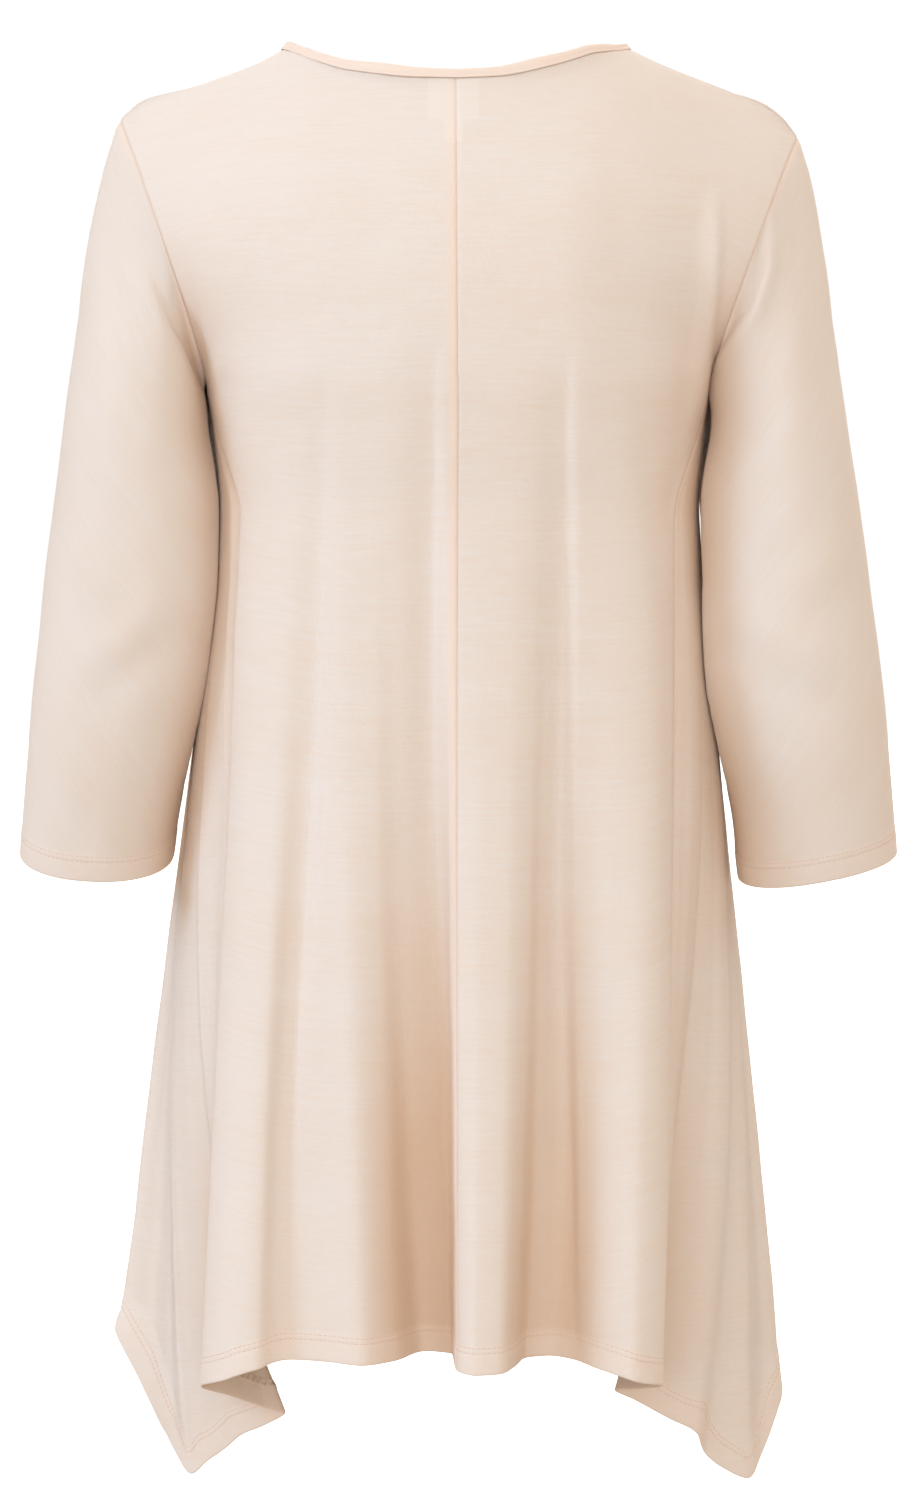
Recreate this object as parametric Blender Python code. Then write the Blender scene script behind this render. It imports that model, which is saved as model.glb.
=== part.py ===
"""Loose jersey tunic, filled out as it is worn.

A boat neck with a narrow binding, three-quarter sleeves, a centre back seam and two side panels
whose square corners hang below the hem as points. X runs across the shoulders, Y runs from the back
to the front, Z is up. Zero is midway between the two points where the shoulders meet the neck.
Every piece of cloth is a thin wall of its own, and the garment is open at neck, cuffs and hem.
"""
import math

import bmesh
import bpy
import numpy as np

WALL = 0.0016
SEAM_GAP = 0.0003
UNDERARM_Z = -0.210
WAIST_Z = -0.292
ROUNDNESS = 2.4

FLARE_START_Z = -0.231
FLARE_POWER = 1.18
HEM_HALF_WIDTH = 0.201
HEM_DEPTH = 0.128
HEM_SHIFT = -0.0075

BINDING_HEIGHT = 0.0054
BINDING_THICKNESS = 0.0026
BINDING_INWARD = 0.62
BINDING_UP = 0.78
BINDING_ONWARD = 0.6

LABEL_WIDTH = 0.030
LABEL_HEIGHT = 0.026
TAB_WIDTH = 0.011
TAB_HEIGHT = 0.0145
LABEL_THICKNESS = 0.0010
LABEL_DROP = 0.0035
LABEL_CENTRE_X = -0.0030
LABEL_REACH = 7

BODY_ROWS = 13
YOKE_ROWS = 8
BACK_STEPS = 2
SIDE_STEPS = 2
FRONT_STEPS = 3
SLEEVE_ROWS = 13
ARMHOLE_SKIP = 5

CLOTH_COLOUR = (0.86, 0.72, 0.62, 1.0)
BINDING_COLOUR = (0.87, 0.71, 0.61, 1.0)
LABEL_COLOUR = (0.90, 0.84, 0.78, 1.0)
CLOTH_ROUGHNESS = 0.85

# Body outline at each height: z, half width, depth of the back, depth of the front.
SECTIONS = (
    (-0.0465, 0.2068, 0.070, 0.060),
    (-0.1000, 0.1850, 0.100, 0.092),
    (-0.1300, 0.1752, 0.108, 0.106),
    (-0.1600, 0.1660, 0.111, 0.113),
    (-0.1900, 0.1580, 0.112, 0.116),
    (-0.2100, 0.1545, 0.112, 0.116),
    (-0.2430, 0.1490, 0.110, 0.114),
    (-0.2920, 0.1440, 0.106, 0.110),
    (-0.3500, 0.1440, 0.106, 0.110),
    (-0.9000, 0.1440, 0.106, 0.110),
)

# Fall lines around the body, from the left front seam by way of the back. Turns are degrees from
# the left side at the underarm and at the waist; then the hem point, and how late the fold opens.
FOLDS = (
    # name, turn at underarm, turn at waist, hem x, hem y, hem z, lateness
    ("front seam left", -10, -30, -0.1760, 0.0880, -0.7830, 1.0),
    ("left side front", -8, -21, -0.2000, 0.0580, -0.7860, 1.0),
    ("left side", -6, -12, -0.2100, 0.0200, -0.7920, 1.0),
    ("left slope high", -4, -6, -0.1921, 0.0060, -0.8231, 2.0),
    ("left slope low", -2, 0, -0.1741, -0.0040, -0.8603, 2.6),
    ("left point", 0, 4, -0.1633, -0.0100, -0.8734, 3.0),
    ("left run 1", 1, 8, -0.1525, -0.0160, -0.8639, 3.0),
    ("left run 2", 2.5, 11, -0.1424, -0.0220, -0.8556, 3.0),
    ("left run 3", 4, 15, -0.1309, -0.0320, -0.8439, 3.0),
    ("left run 4", 5.5, 19, -0.1159, -0.0420, -0.8353, 3.0),
    ("left inner fold", 7, 22, -0.1047, -0.0500, -0.8267, 3.0),
    ("left return 1", 8, 24, -0.1168, -0.0580, -0.8204, 2.6),
    ("left return 2", 9, 27, -0.1348, -0.0740, -0.8099, 1.8),
    ("back seam left", 10, 30, -0.1512, -0.0930, -0.7999, 1.1),
    ("back ridge 1", 22, 38, -0.1331, -0.1200, -0.7886, 1.1),
    ("back slope 1", 36, 48, -0.1155, -0.1240, -0.7824, 1.1),
    ("neck point left", 50, 57, -0.0975, -0.1130, -0.7793, 1.2),
    ("back slope 2", 60, 62, -0.0770, -0.1185, -0.7791, 1.2),
    ("back ridge 2", 67, 67, -0.0553, -0.1290, -0.7789, 1.2),
    ("back slope 3", 74, 74, -0.0365, -0.1180, -0.7787, 1.3),
    ("back valley 2", 80, 80, -0.0193, -0.0975, -0.7783, 1.4),
    ("back flank 1", 86, 87, -0.0058, -0.0980, -0.7794, 1.6),
    ("centre back", 90, 90, -0.0011, -0.1390, -0.7794, 1.3),
    ("back ridge 3", 94, 94, 0.0097, -0.1500, -0.7796, 1.3),
    ("back slope 4", 99, 99, 0.0240, -0.1470, -0.7794, 1.3),
    ("back flank 2", 104, 104, 0.0322, -0.1300, -0.7793, 1.4),
    ("back flank 3", 108, 108, 0.0390, -0.1090, -0.7791, 1.4),
    ("back valley 3", 113, 113, 0.0525, -0.1045, -0.7790, 1.3),
    ("back slope 5", 119, 119, 0.0679, -0.1140, -0.7796, 1.2),
    ("neck point right", 128, 127, 0.0820, -0.1250, -0.7822, 1.1),
    ("back ridge 4", 144, 137, 0.1001, -0.1310, -0.7871, 1.1),
    ("back seam right", 170, 151, 0.1186, -0.1100, -0.7951, 1.1),
    ("right return 1", 171, 154, 0.1068, -0.0900, -0.8018, 1.8),
    ("right inner fold", 172.5, 158, 0.0934, -0.0620, -0.8099, 2.2),
    ("right run 1", 174, 161, 0.1050, -0.0550, -0.8170, 2.2),
    ("right run 2", 175, 164.5, 0.1253, -0.0450, -0.8303, 2.2),
    ("right run 3", 176.5, 168, 0.1439, -0.0360, -0.8423, 2.4),
    ("right step", 178, 171, 0.1488, -0.0260, -0.8557, 2.8),
    ("right run 4", 179, 173, 0.1596, -0.0180, -0.8670, 2.8),
    ("right point", 180.5, 176, 0.1774, -0.0080, -0.8764, 2.8),
    ("right slope low", 182, 180, 0.1850, 0.0020, -0.8662, 2.4),
    ("right slope high", 184, 185, 0.1957, 0.0120, -0.8430, 1.6),
    ("right side", 186, 191, 0.2003, 0.0220, -0.8301, 1.2),
    ("right side front", 188, 199, 0.1900, 0.0550, -0.8030, 1.0),
    ("front seam right", 190, 209, 0.1630, 0.0900, -0.7870, 1.0),
    ("front ridge 1", 204, 222, 0.1400, 0.1260, -0.7830, 1.1),
    ("front valley 1", 218, 236, 0.1040, 0.1030, -0.7800, 1.2),
    ("front neck right", 232, 250, 0.0680, 0.1330, -0.7790, 1.2),
    ("front valley 2", 246, 261, 0.0300, 0.1060, -0.7780, 1.3),
    ("centre front", 262, 271, -0.0060, 0.1420, -0.7780, 1.3),
    ("front valley 3", 279, 283, -0.0460, 0.1040, -0.7780, 1.3),
    ("front ridge 4", 295, 297, -0.0880, 0.1350, -0.7790, 1.2),
    ("front neck left", 310, 309, -0.1200, 0.1060, -0.7810, 1.1),
    ("front ridge 5", 328, 319, -0.1480, 0.1220, -0.7820, 1.1),
)

# Shoulder line from the neck to the sleeve: x, z.
SHOULDER_LEFT = (
    (-0.1070, -0.0036),
    (-0.1169, -0.0106),
    (-0.1248, -0.0142),
    (-0.1457, -0.0215),
    (-0.1732, -0.0289),
    (-0.1867, -0.0326),
    (-0.1952, -0.0363),
    (-0.2001, -0.0400),
    (-0.2068, -0.0470),
)
SHOULDER_RIGHT = (
    (0.1040, -0.0036),
    (0.1169, -0.0106),
    (0.1267, -0.0142),
    (0.1457, -0.0215),
    (0.1646, -0.0289),
    (0.1756, -0.0326),
    (0.1854, -0.0363),
    (0.1916, -0.0400),
    (0.2001, -0.0473),
    (0.2072, -0.0569),
)

# Neck edge: share of the half width from the centre, y, z.
NECK_BACK = (
    (0.00, -0.0660, -0.0285),
    (0.25, -0.0640, -0.0276),
    (0.47, -0.0580, -0.0247),
    (0.63, -0.0500, -0.0214),
    (0.78, -0.0380, -0.0155),
    (0.93, -0.0200, -0.0078),
    (0.98, -0.0100, -0.0050),
    (1.00, 0.0000, -0.0036),
)
NECK_FRONT = (
    (0.00, 0.0840, -0.1030),
    (0.25, 0.0815, -0.0985),
    (0.47, 0.0750, -0.0860),
    (0.63, 0.0680, -0.0705),
    (0.78, 0.0570, -0.0490),
    (0.93, 0.0330, -0.0190),
    (0.98, 0.0160, -0.0075),
    (1.00, 0.0000, -0.0036),
)
NECK_CENTRE_X = -0.0012

# Sleeves, seen from the back: z, outer x, inner x, y of the middle, half depth.
SLEEVE_LEFT = (
    (-0.0470, -0.2068, -0.1740, 0.000, 0.018),
    (-0.0840, -0.2171, -0.1640, 0.000, 0.037),
    (-0.1328, -0.2265, -0.1560, -0.004, 0.050),
    (-0.1820, -0.2335, -0.1520, -0.010, 0.057),
    (-0.2315, -0.2390, -0.1500, -0.016, 0.058),
    (-0.2800, -0.2444, -0.1425, -0.022, 0.056),
    (-0.3285, -0.2499, -0.1430, -0.027, 0.053),
    (-0.3770, -0.2547, -0.1490, -0.028, 0.052),
    (-0.4256, -0.2596, -0.1595, -0.024, 0.051),
    (-0.4741, -0.2644, -0.1704, -0.016, 0.050),
    (-0.5100, -0.2675, -0.1750, -0.010, 0.049),
)
SLEEVE_RIGHT = (
    (-0.0569, 0.2072, 0.1740, 0.000, 0.018),
    (-0.0840, 0.2150, 0.1640, 0.000, 0.037),
    (-0.1328, 0.2230, 0.1560, -0.004, 0.050),
    (-0.1820, 0.2290, 0.1520, -0.010, 0.057),
    (-0.2315, 0.2353, 0.1500, -0.016, 0.058),
    (-0.2800, 0.2420, 0.1420, -0.022, 0.056),
    (-0.3285, 0.2480, 0.1428, -0.027, 0.053),
    (-0.3770, 0.2541, 0.1450, -0.028, 0.052),
    (-0.4256, 0.2596, 0.1545, -0.024, 0.051),
    (-0.4741, 0.2644, 0.1656, -0.016, 0.050),
    (-0.5150, 0.2680, 0.1712, -0.010, 0.049),
)
# Cuff edge: height at the middle, rise toward the front, rise toward the outer side.
CUFF_LEFT = (-0.4945, 0.26, 0.02)
CUFF_RIGHT = (-0.5015, 0.12, 0.16)

# Armhole and yoke: how far the armhole stands out, over how many degrees of turn that fades, how
# late the yoke widens, how much it leans in at the top, and how late it rolls over the top.
ARMHOLE_BULGE = 0.032
ARMHOLE_FADE_TURN = 46.0
ARMHOLE_TURN = 10.0
YOKE_WIDENING = 1.25
YOKE_LEAN = 0.22
YOKE_ROLL_POWER = 3.2
SHOULDER_ROLL = 0.9
YOKE_SPACING = 1.7

# Sleeves: share of the length over which the armhole's shape fades out, and room to the body.
SLEEVE_FADE = 0.42
SLEEVE_SEAM_GAP = 0.0007
SLEEVE_CLEARANCE = 0.0042
SLEEVE_CLEARANCE_DROP = 0.035
SLEEVE_ROUNDNESS = 2.2
SLEEVE_SPACING = 1.15
MEAN_HEM_Z = -0.790


def ease(share):
    share = np.clip(share, 0.0, 1.0)
    return share * share * (3.0 - 2.0 * share)


def unit(vectors):
    return vectors / np.maximum(np.linalg.norm(vectors, axis=-1, keepdims=True), 1e-12)


def slopes(knots, values):
    """Slope at each knot, level where the values turn back, so that a curve never overshoots."""
    rise = np.diff(values, axis=0) / np.diff(knots)[:, None]
    before = rise[:-1]
    after = rise[1:]
    same_way = before * after > 0
    inner = np.where(same_way, 2 * before * after / np.where(same_way, before + after, 1.0), 0.0)
    return np.vstack([rise[:1], inner, rise[-1:]])


def smooth_curve(knots, values, at):
    """Smooth curve through the values, one row for each place in at."""
    knots = np.asarray(knots, float)
    values = np.asarray(values, float)
    at = np.clip(np.asarray(at, float), knots[0], knots[-1])
    steep = slopes(knots, values)
    first = np.clip(np.searchsorted(knots, at, side="right") - 1, 0, len(knots) - 2)
    width = knots[first + 1] - knots[first]
    t = ((at - knots[first]) / width)[:, None]
    width = width[:, None]
    return (
        values[first] * (1 + 2 * t) * (1 - t) ** 2
        + steep[first] * width * t * (1 - t) ** 2
        + values[first + 1] * t * t * (3 - 2 * t)
        + steep[first + 1] * width * t * t * (t - 1)
    )


def from_table(table, at):
    """Columns of a table read at heights, highest row first in the table."""
    rows = np.array(table, float)[::-1]
    return smooth_curve(rows[:, 0], rows[:, 1:], at).T


def fold_index(name):
    return [row[0] for row in FOLDS].index(name)


def fold_columns(places):
    """Underarm turn, waist turn, hem point and lateness at places counted along FOLDS."""
    rows = np.array([row[1:] for row in FOLDS], float)
    turned = rows + np.array([360.0, 360.0, 0, 0, 0, 0])
    ring = np.vstack([rows[-3:] - np.array([360.0, 360.0, 0, 0, 0, 0]), rows, turned[:3]])
    length = np.concatenate([[0.0], np.cumsum(np.linalg.norm(np.diff(ring[:, 2:5], axis=0), axis=1))])
    count = np.arange(-3, len(FOLDS) + 3)
    along = np.interp(places, count, length)
    return smooth_curve(length, ring, along).T


def rounded(turn, half_width, back_depth, front_depth):
    """Point of a rounded section at an angle from the left side by way of the back."""
    angle = np.radians(turn)
    power = 2.0 / ROUNDNESS
    across = np.sign(np.cos(angle)) * np.abs(np.cos(angle)) ** power
    deep = np.sign(np.sin(angle)) * np.abs(np.sin(angle)) ** power
    depth = np.where(deep > 0, back_depth, front_depth)
    return -half_width * across, -depth * deep


def body_point(places, share):
    """Outer face of the body below the underarm, share 0 at the underarm and 1 at the hem."""
    top_turn, waist_turn, hem_x, hem_y, hem_z, late = fold_columns(places)
    z = UNDERARM_Z + share * (hem_z - UNDERARM_Z)
    half_width, back_depth, front_depth = from_table(SECTIONS, z)
    turn = top_turn + (waist_turn - top_turn) * ease((UNDERARM_Z - z) / (UNDERARM_Z - WAIST_Z))
    x, y = rounded(turn, half_width, back_depth, front_depth)
    wide_x, wide_y = rounded(waist_turn, HEM_HALF_WIDTH, HEM_DEPTH, HEM_DEPTH)
    wide_x = wide_x + HEM_SHIFT
    open_share = np.clip((FLARE_START_Z - z) / (FLARE_START_Z - hem_z), 0.0, 1.0) ** FLARE_POWER
    fold_share = open_share ** late
    x = x + (wide_x - x) * open_share + (hem_x - wide_x) * fold_share
    y = y + (wide_y - y) * open_share + (hem_y - wide_y) * fold_share
    return np.stack([x, y, z], axis=-1)


def shoulder_point(share, line):
    """Point of the shoulder line, share 0 at the neck and 1 at the sleeve."""
    rows = np.array(line)
    x = rows[0, 0] + share * (rows[-1, 0] - rows[0, 0])
    order = np.argsort(rows[:, 0])
    z = smooth_curve(rows[order, 0], rows[order, 1:], x)[:, 0]
    return np.stack([x, np.zeros_like(x), z], axis=-1)


def neck_point(share, edge):
    """Point of the neck edge, share -1 at the left shoulder, 0 at the centre and 1 at the right."""
    spread = np.sin(share * math.pi / 2)
    reach = np.where(spread < 0, NECK_CENTRE_X - SHOULDER_LEFT[0][0], SHOULDER_RIGHT[0][0] - NECK_CENTRE_X)
    y, z = smooth_curve([row[0] for row in edge], [row[1:] for row in edge], np.abs(spread)).T
    return np.stack([NECK_CENTRE_X + reach * spread, y, z], axis=-1)


def upper_limits(places, back):
    """Top edge point of each fall line, and how closely it rolls over the top."""
    turn = fold_columns(places)[0]
    names = ("neck point left", "neck point right") if back else ("front neck right", "front neck left")
    first, last = (FOLDS[fold_index(name)][1] for name in names)
    middle = (first + last) / 2 if not back else 90.0
    start = ARMHOLE_TURN if back else 180.0 + ARMHOLE_TURN
    end = 180.0 - ARMHOLE_TURN if back else 360.0 - ARMHOLE_TURN
    side = np.where(turn < middle, (turn - middle) / (middle - first), (turn - middle) / (last - middle))
    across = np.clip(side if back else -side, -1.0, 1.0)
    top = neck_point(across, NECK_BACK if back else NECK_FRONT)
    before = turn < first
    after = turn > last
    before_line, after_line = (SHOULDER_LEFT, SHOULDER_RIGHT) if back else (SHOULDER_RIGHT, SHOULDER_LEFT)
    top[before] = shoulder_point(((first - turn) / (first - start))[before], before_line)
    top[after] = shoulder_point(((turn - last) / (end - last))[after], after_line)
    roll = 1.0 + SHOULDER_ROLL * np.abs(across) ** 3
    edge = np.clip(np.minimum(turn - start, end - turn) / ARMHOLE_FADE_TURN, 0.0, 1.0)
    return top, roll, 1.0 - ease(edge)


def yoke_point(places, share, back):
    """Outer face above the underarm, share 0 at the underarm and 1 at the shoulder or neck."""
    ring = body_point(places, np.zeros_like(places))
    top, roll, near_edge = upper_limits(places, back)
    side = -1.0 if back else 1.0
    x = ring[:, 0] + (top[:, 0] - ring[:, 0]) * share ** YOKE_WIDENING
    z = ring[:, 2] + (top[:, 2] - ring[:, 2]) * share
    lean = 1.0 - YOKE_LEAN * share ** 2
    flat = ring[:, 1] * lean + side * ARMHOLE_BULGE * near_edge * np.sin(math.pi * share ** 0.9)
    over = 1.0 - (1.0 - share ** YOKE_ROLL_POWER) ** (1.0 / roll)
    y = flat + (top[:, 1] - flat) * over
    return np.stack([x, y, z], axis=-1)


def yoke_shares():
    step = np.linspace(0.0, 1.0, YOKE_ROWS + 1)[::-1]
    return 1.0 - (1.0 - step) ** YOKE_SPACING


def columns_between(first, last, steps):
    start = fold_index(first)
    end = fold_index(last)
    if end <= start:
        end += len(FOLDS)
    return np.linspace(start, end, (end - start) * steps + 1)


def tube_normals(grid):
    """Direction square to a closed grid whose rows run down and columns run around."""
    down = np.gradient(grid, axis=0)
    across = np.roll(grid, -1, axis=1) - np.roll(grid, 1, axis=1)
    return unit(np.cross(down, across))


def body_normals(places, share):
    """Outward direction of the body below the underarm."""
    across = body_point(places + 0.08, share) - body_point(places - 0.08, share)
    above = np.maximum(share - 0.004, 0.0)
    below = np.minimum(share + 0.004, 1.0)
    return unit(np.cross(body_point(places, below) - body_point(places, above), across))


def yoke_normals(places, share, back):
    """Outward direction of the body above the underarm."""
    before = np.maximum(places - 0.08, places[0])
    after = np.minimum(places + 0.08, places[-1])
    across = yoke_point(after, share, back) - yoke_point(before, share, back)
    above = np.minimum(share + 0.001, 1.0)
    below = above - 0.003
    return unit(np.cross(yoke_point(places, below, back) - yoke_point(places, above, back), across))


def pull_in(grid, amount, sides):
    """Move the named edges of a grid back along the cloth, so that seams stay apart."""
    moved = grid.copy()
    if "left" in sides:
        moved[:, 0] += unit(grid[:, 1] - grid[:, 0]) * amount
    if "right" in sides:
        moved[:, -1] += unit(grid[:, -2] - grid[:, -1]) * amount
    if "top" in sides:
        moved[0] += unit(grid[1] - grid[0]) * amount
    if "bottom" in sides:
        moved[-1] += unit(grid[-2] - grid[-1]) * amount
    return moved


def strip_faces(rows, columns, around, flip, start):
    faces = []
    for r in range(rows - 1):
        for c in range(columns if around else columns - 1):
            a = start + r * columns + c
            b = start + r * columns + (c + 1) % columns
            quad = (a, b, b + columns, a + columns)
            faces.append(quad[::-1] if flip else quad)
    return faces


def edge_faces(rows, columns, around, offset):
    """Faces that close a wall along its open edges."""
    border = []
    if around:
        border.append([(0, c) for c in range(columns)])
        border.append([(rows - 1, c) for c in range(columns)][::-1])
    else:
        ring = [(0, c) for c in range(columns)]
        ring += [(r, columns - 1) for r in range(1, rows)]
        ring += [(rows - 1, c) for c in range(columns - 2, -1, -1)]
        ring += [(r, 0) for r in range(rows - 2, 0, -1)]
        border.append(ring)
    faces = []
    for ring in border:
        for here, there in zip(ring, ring[1:] + ring[:1]):
            a = here[0] * columns + here[1]
            b = there[0] * columns + there[1]
            faces.append((b, a, a + offset, b + offset))
    return faces


def wall(name, outer, inner, material, around=False):
    """Closed solid between two grids of the same size."""
    rows, columns = outer.shape[:2]
    count = rows * columns
    points = np.vstack([outer.reshape(-1, 3), inner.reshape(-1, 3)])
    faces = strip_faces(rows, columns, around, True, 0)
    faces += strip_faces(rows, columns, around, False, count)
    faces += edge_faces(rows, columns, around, count)
    return add_object(name, points, faces, material)


def add_object(name, points, faces, material):
    mesh = bpy.data.meshes.new(name)
    mesh.from_pydata([tuple(point) for point in points], [], faces)
    builder = bmesh.new()
    builder.from_mesh(mesh)
    bmesh.ops.triangulate(builder, faces=builder.faces[:])
    bmesh.ops.recalc_face_normals(builder, faces=builder.faces[:])
    builder.to_mesh(mesh)
    builder.free()
    for polygon in mesh.polygons:
        polygon.use_smooth = True
    mesh.materials.append(material)
    item = bpy.data.objects.new(name, mesh)
    bpy.context.scene.collection.objects.link(item)
    return item


def make_material(name, colour):
    material = bpy.data.materials.new(name)
    material.use_nodes = True
    shader = material.node_tree.nodes["Principled BSDF"]
    shader.inputs["Base Color"].default_value = colour
    shader.inputs["Roughness"].default_value = CLOTH_ROUGHNESS
    return material


def body_faces(places, back=None):
    """Outer and inner face of the cloth from the top edge, or the underarm, down to the hem."""
    outer = []
    out = []
    for share in yoke_shares()[:-1] if back is not None else ():
        level = np.full_like(places, share)
        outer.append(yoke_point(places, level, back))
        out.append(yoke_normals(places, level, back))
    for share in np.linspace(0.0, 1.0, BODY_ROWS + 1):
        level = np.full_like(places, share)
        outer.append(body_point(places, level))
        out.append(body_normals(places, level))
    outer = np.array(outer)
    inner = outer - np.array(out) * WALL
    if back is not None:
        shoulder = outer[0, :, 1] == 0.0
        inner[0, shoulder, 1] = 0.0
    return outer, inner


def cloth_wall(name, faces, material, sides):
    """Cloth panel between its two faces, kept half a gap back along its seams."""
    outer, inner = (pull_in(face, SEAM_GAP / 2, sides) for face in faces)
    return wall(name, outer, inner, material)


def add_back(cloth):
    outer, inner = body_faces(columns_between("back seam left", "back seam right", BACK_STEPS), True)
    middle = (fold_index("centre back") - fold_index("back seam left")) * BACK_STEPS
    for name, part in (("back_left", slice(0, middle + 1)), ("back_right", slice(middle, None))):
        cloth_wall(name, (outer[:, part], inner[:, part]), cloth[name], ("left", "right", "top"))
    return outer, inner


def add_front(cloth):
    faces = body_faces(columns_between("front seam right", "front seam left", FRONT_STEPS), False)
    cloth_wall("front", faces, cloth["front"], ("left", "right", "top"))
    return faces


def add_side_panels(cloth):
    panels = (
        ("side_panel_left", "front seam left", "back seam left"),
        ("side_panel_right", "back seam right", "front seam right"),
    )
    tops = []
    for name, first, last in panels:
        faces = body_faces(columns_between(first, last, SIDE_STEPS))
        cloth_wall(name, faces, cloth[name], ("left", "right"))
        tops.append((faces[0][0], faces[1][0]))
    return tops


def body_side(y, z):
    """Distance of the body's side from the middle at a depth and height, left and right."""
    half_width, back_depth, front_depth = from_table(SECTIONS, z)
    open_share = np.clip((FLARE_START_Z - z) / (FLARE_START_Z - MEAN_HEM_Z), 0.0, 1.0) ** FLARE_POWER
    half_width = half_width + (HEM_HALF_WIDTH - half_width) * open_share
    depth = np.where(y < 0, back_depth, front_depth)
    depth = depth + (HEM_DEPTH - depth) * open_share
    near = np.clip(1.0 - np.abs(y / depth) ** ROUNDNESS, 0.0, 1.0)
    return half_width * near ** (1.0 / ROUNDNESS), HEM_SHIFT * open_share


def armhole(back_faces, front_faces, panel_tops, side):
    """Armhole loop from the underarm by way of the back to the shoulder and down the front.

    The sleeve's fall lines start at the body's own edge points, so that the seam stays even.
    Gives the loop and the direction in which the body's cloth faces along it."""
    loops = []
    for back, front, top in zip(back_faces, front_faces, panel_tops):
        back_edge = back[YOKE_ROWS::-1, 0 if side < 0 else -1]
        front_edge = front[YOKE_ROWS::-1, -1 if side < 0 else 0]
        panel = top if side < 0 else top[::-1]
        middle = len(panel) // 2
        back_half = np.vstack([panel[middle:-2:ARMHOLE_SKIP], back_edge])
        front_half = np.vstack([panel[middle - ARMHOLE_SKIP:1:-ARMHOLE_SKIP], front_edge])
        loops.append(np.vstack([back_half, front_half[-2::-1]]))
    return loops[0], unit(loops[0] - loops[1])


def loop_angles(loop):
    """Angle of each fall line around the sleeve, shared out along the armhole seam."""
    length = np.linalg.norm(np.roll(loop, -1, axis=0) - loop, axis=1)
    top = int(np.argmax(loop[:, 2]))
    along = np.concatenate([[0.0], np.cumsum(length)])
    back = along[:top + 1] / along[top]
    front = (along[top:] - along[top]) / (along[-1] - along[top])
    return np.concatenate([back, 1.0 + front[1:-1]]) * math.pi


def sleeve_ring(angle, z, table, side):
    """Point of the free sleeve tube at an angle from its inner side by way of the back."""
    outer, inner, middle_y, half_depth = from_table(table, z)
    middle = (outer + inner) / 2
    half_width = np.abs(outer - inner) / 2
    power = 2.0 / SLEEVE_ROUNDNESS
    across = np.sign(np.cos(angle)) * np.abs(np.cos(angle)) ** power
    deep = np.sign(np.sin(angle)) * np.abs(np.sin(angle)) ** power
    return middle - side * half_width * across, middle_y - half_depth * deep


def keep_clear(x, y, z, side, start_z):
    """Move sleeve points away from the body's side."""
    reach, shift = body_side(y, z)
    gap = SLEEVE_SEAM_GAP + SLEEVE_CLEARANCE * ease((start_z - z) / SLEEVE_CLEARANCE_DROP)
    limit = side * (reach + gap) + shift
    inside = side * x < side * limit
    return np.where(inside, limit, x)


def sleeve_grid(loop, table, cuff, side):
    """Outer face of a sleeve from the armhole to the cuff."""
    count = len(loop)
    angle = loop_angles(loop)
    start = loop + np.array([side * SLEEVE_SEAM_GAP, 0.0, 0.0])
    cuff_z, rise_front, rise_outer = cuff
    end_x, end_y = sleeve_ring(angle, np.full(count, cuff_z), table, side)
    outer, inner, middle_y, half_depth = from_table(table, np.array([cuff_z]))
    end_z = cuff_z + rise_front * (end_y - middle_y) + rise_outer * side * (end_x - (outer + inner) / 2)
    tube_x, tube_y = sleeve_ring(angle, start[:, 2], table, side)
    away = start - np.stack([tube_x, tube_y, start[:, 2]], axis=-1)
    rows = [start]
    for step in range(1, SLEEVE_ROWS + 1):
        share = (step / SLEEVE_ROWS) ** SLEEVE_SPACING
        z = start[:, 2] + (end_z - start[:, 2]) * share
        x, y = sleeve_ring(angle, z, table, side)
        hold = 1.0 - ease(share / SLEEVE_FADE)
        x = x + away[:, 0] * hold
        y = y + away[:, 1] * hold
        x = keep_clear(x, y, z, side, start[:, 2])
        rows.append(np.stack([x, y, z], axis=-1))
    return np.array(rows)


def add_sleeve(name, seam, table, cuff, side, material):
    loop, body_out = seam
    grid = sleeve_grid(loop, table, cuff, side)
    out = tube_normals(grid) * side
    height = ease((loop[:, 2] - UNDERARM_Z) / (loop[:, 2].max() - UNDERARM_Z))
    out[0] = unit(out[0] + body_out * height[:, None])
    inner = grid - out * WALL
    wall(name, grid, inner, material, around=True)


def binding_path(back_faces, front_faces):
    """Middle of the neck edge all round, from the left neck point by way of the back."""
    left = (fold_index("neck point left") - fold_index("back seam left")) * BACK_STEPS
    right = (fold_index("neck point right") - fold_index("back seam left")) * BACK_STEPS
    back_edge, front_edge = ((outer[:2] + inner[:2]) / 2 for outer, inner in (back_faces, front_faces))
    start = (fold_index("front neck right") - fold_index("front seam right")) * FRONT_STEPS
    end = (fold_index("front neck left") - fold_index("front seam right")) * FRONT_STEPS
    edge = np.hstack([back_edge[:, left:right + 1], front_edge[:, start + 1:end]])
    return edge[0], unit(edge[0] - edge[1])


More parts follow.
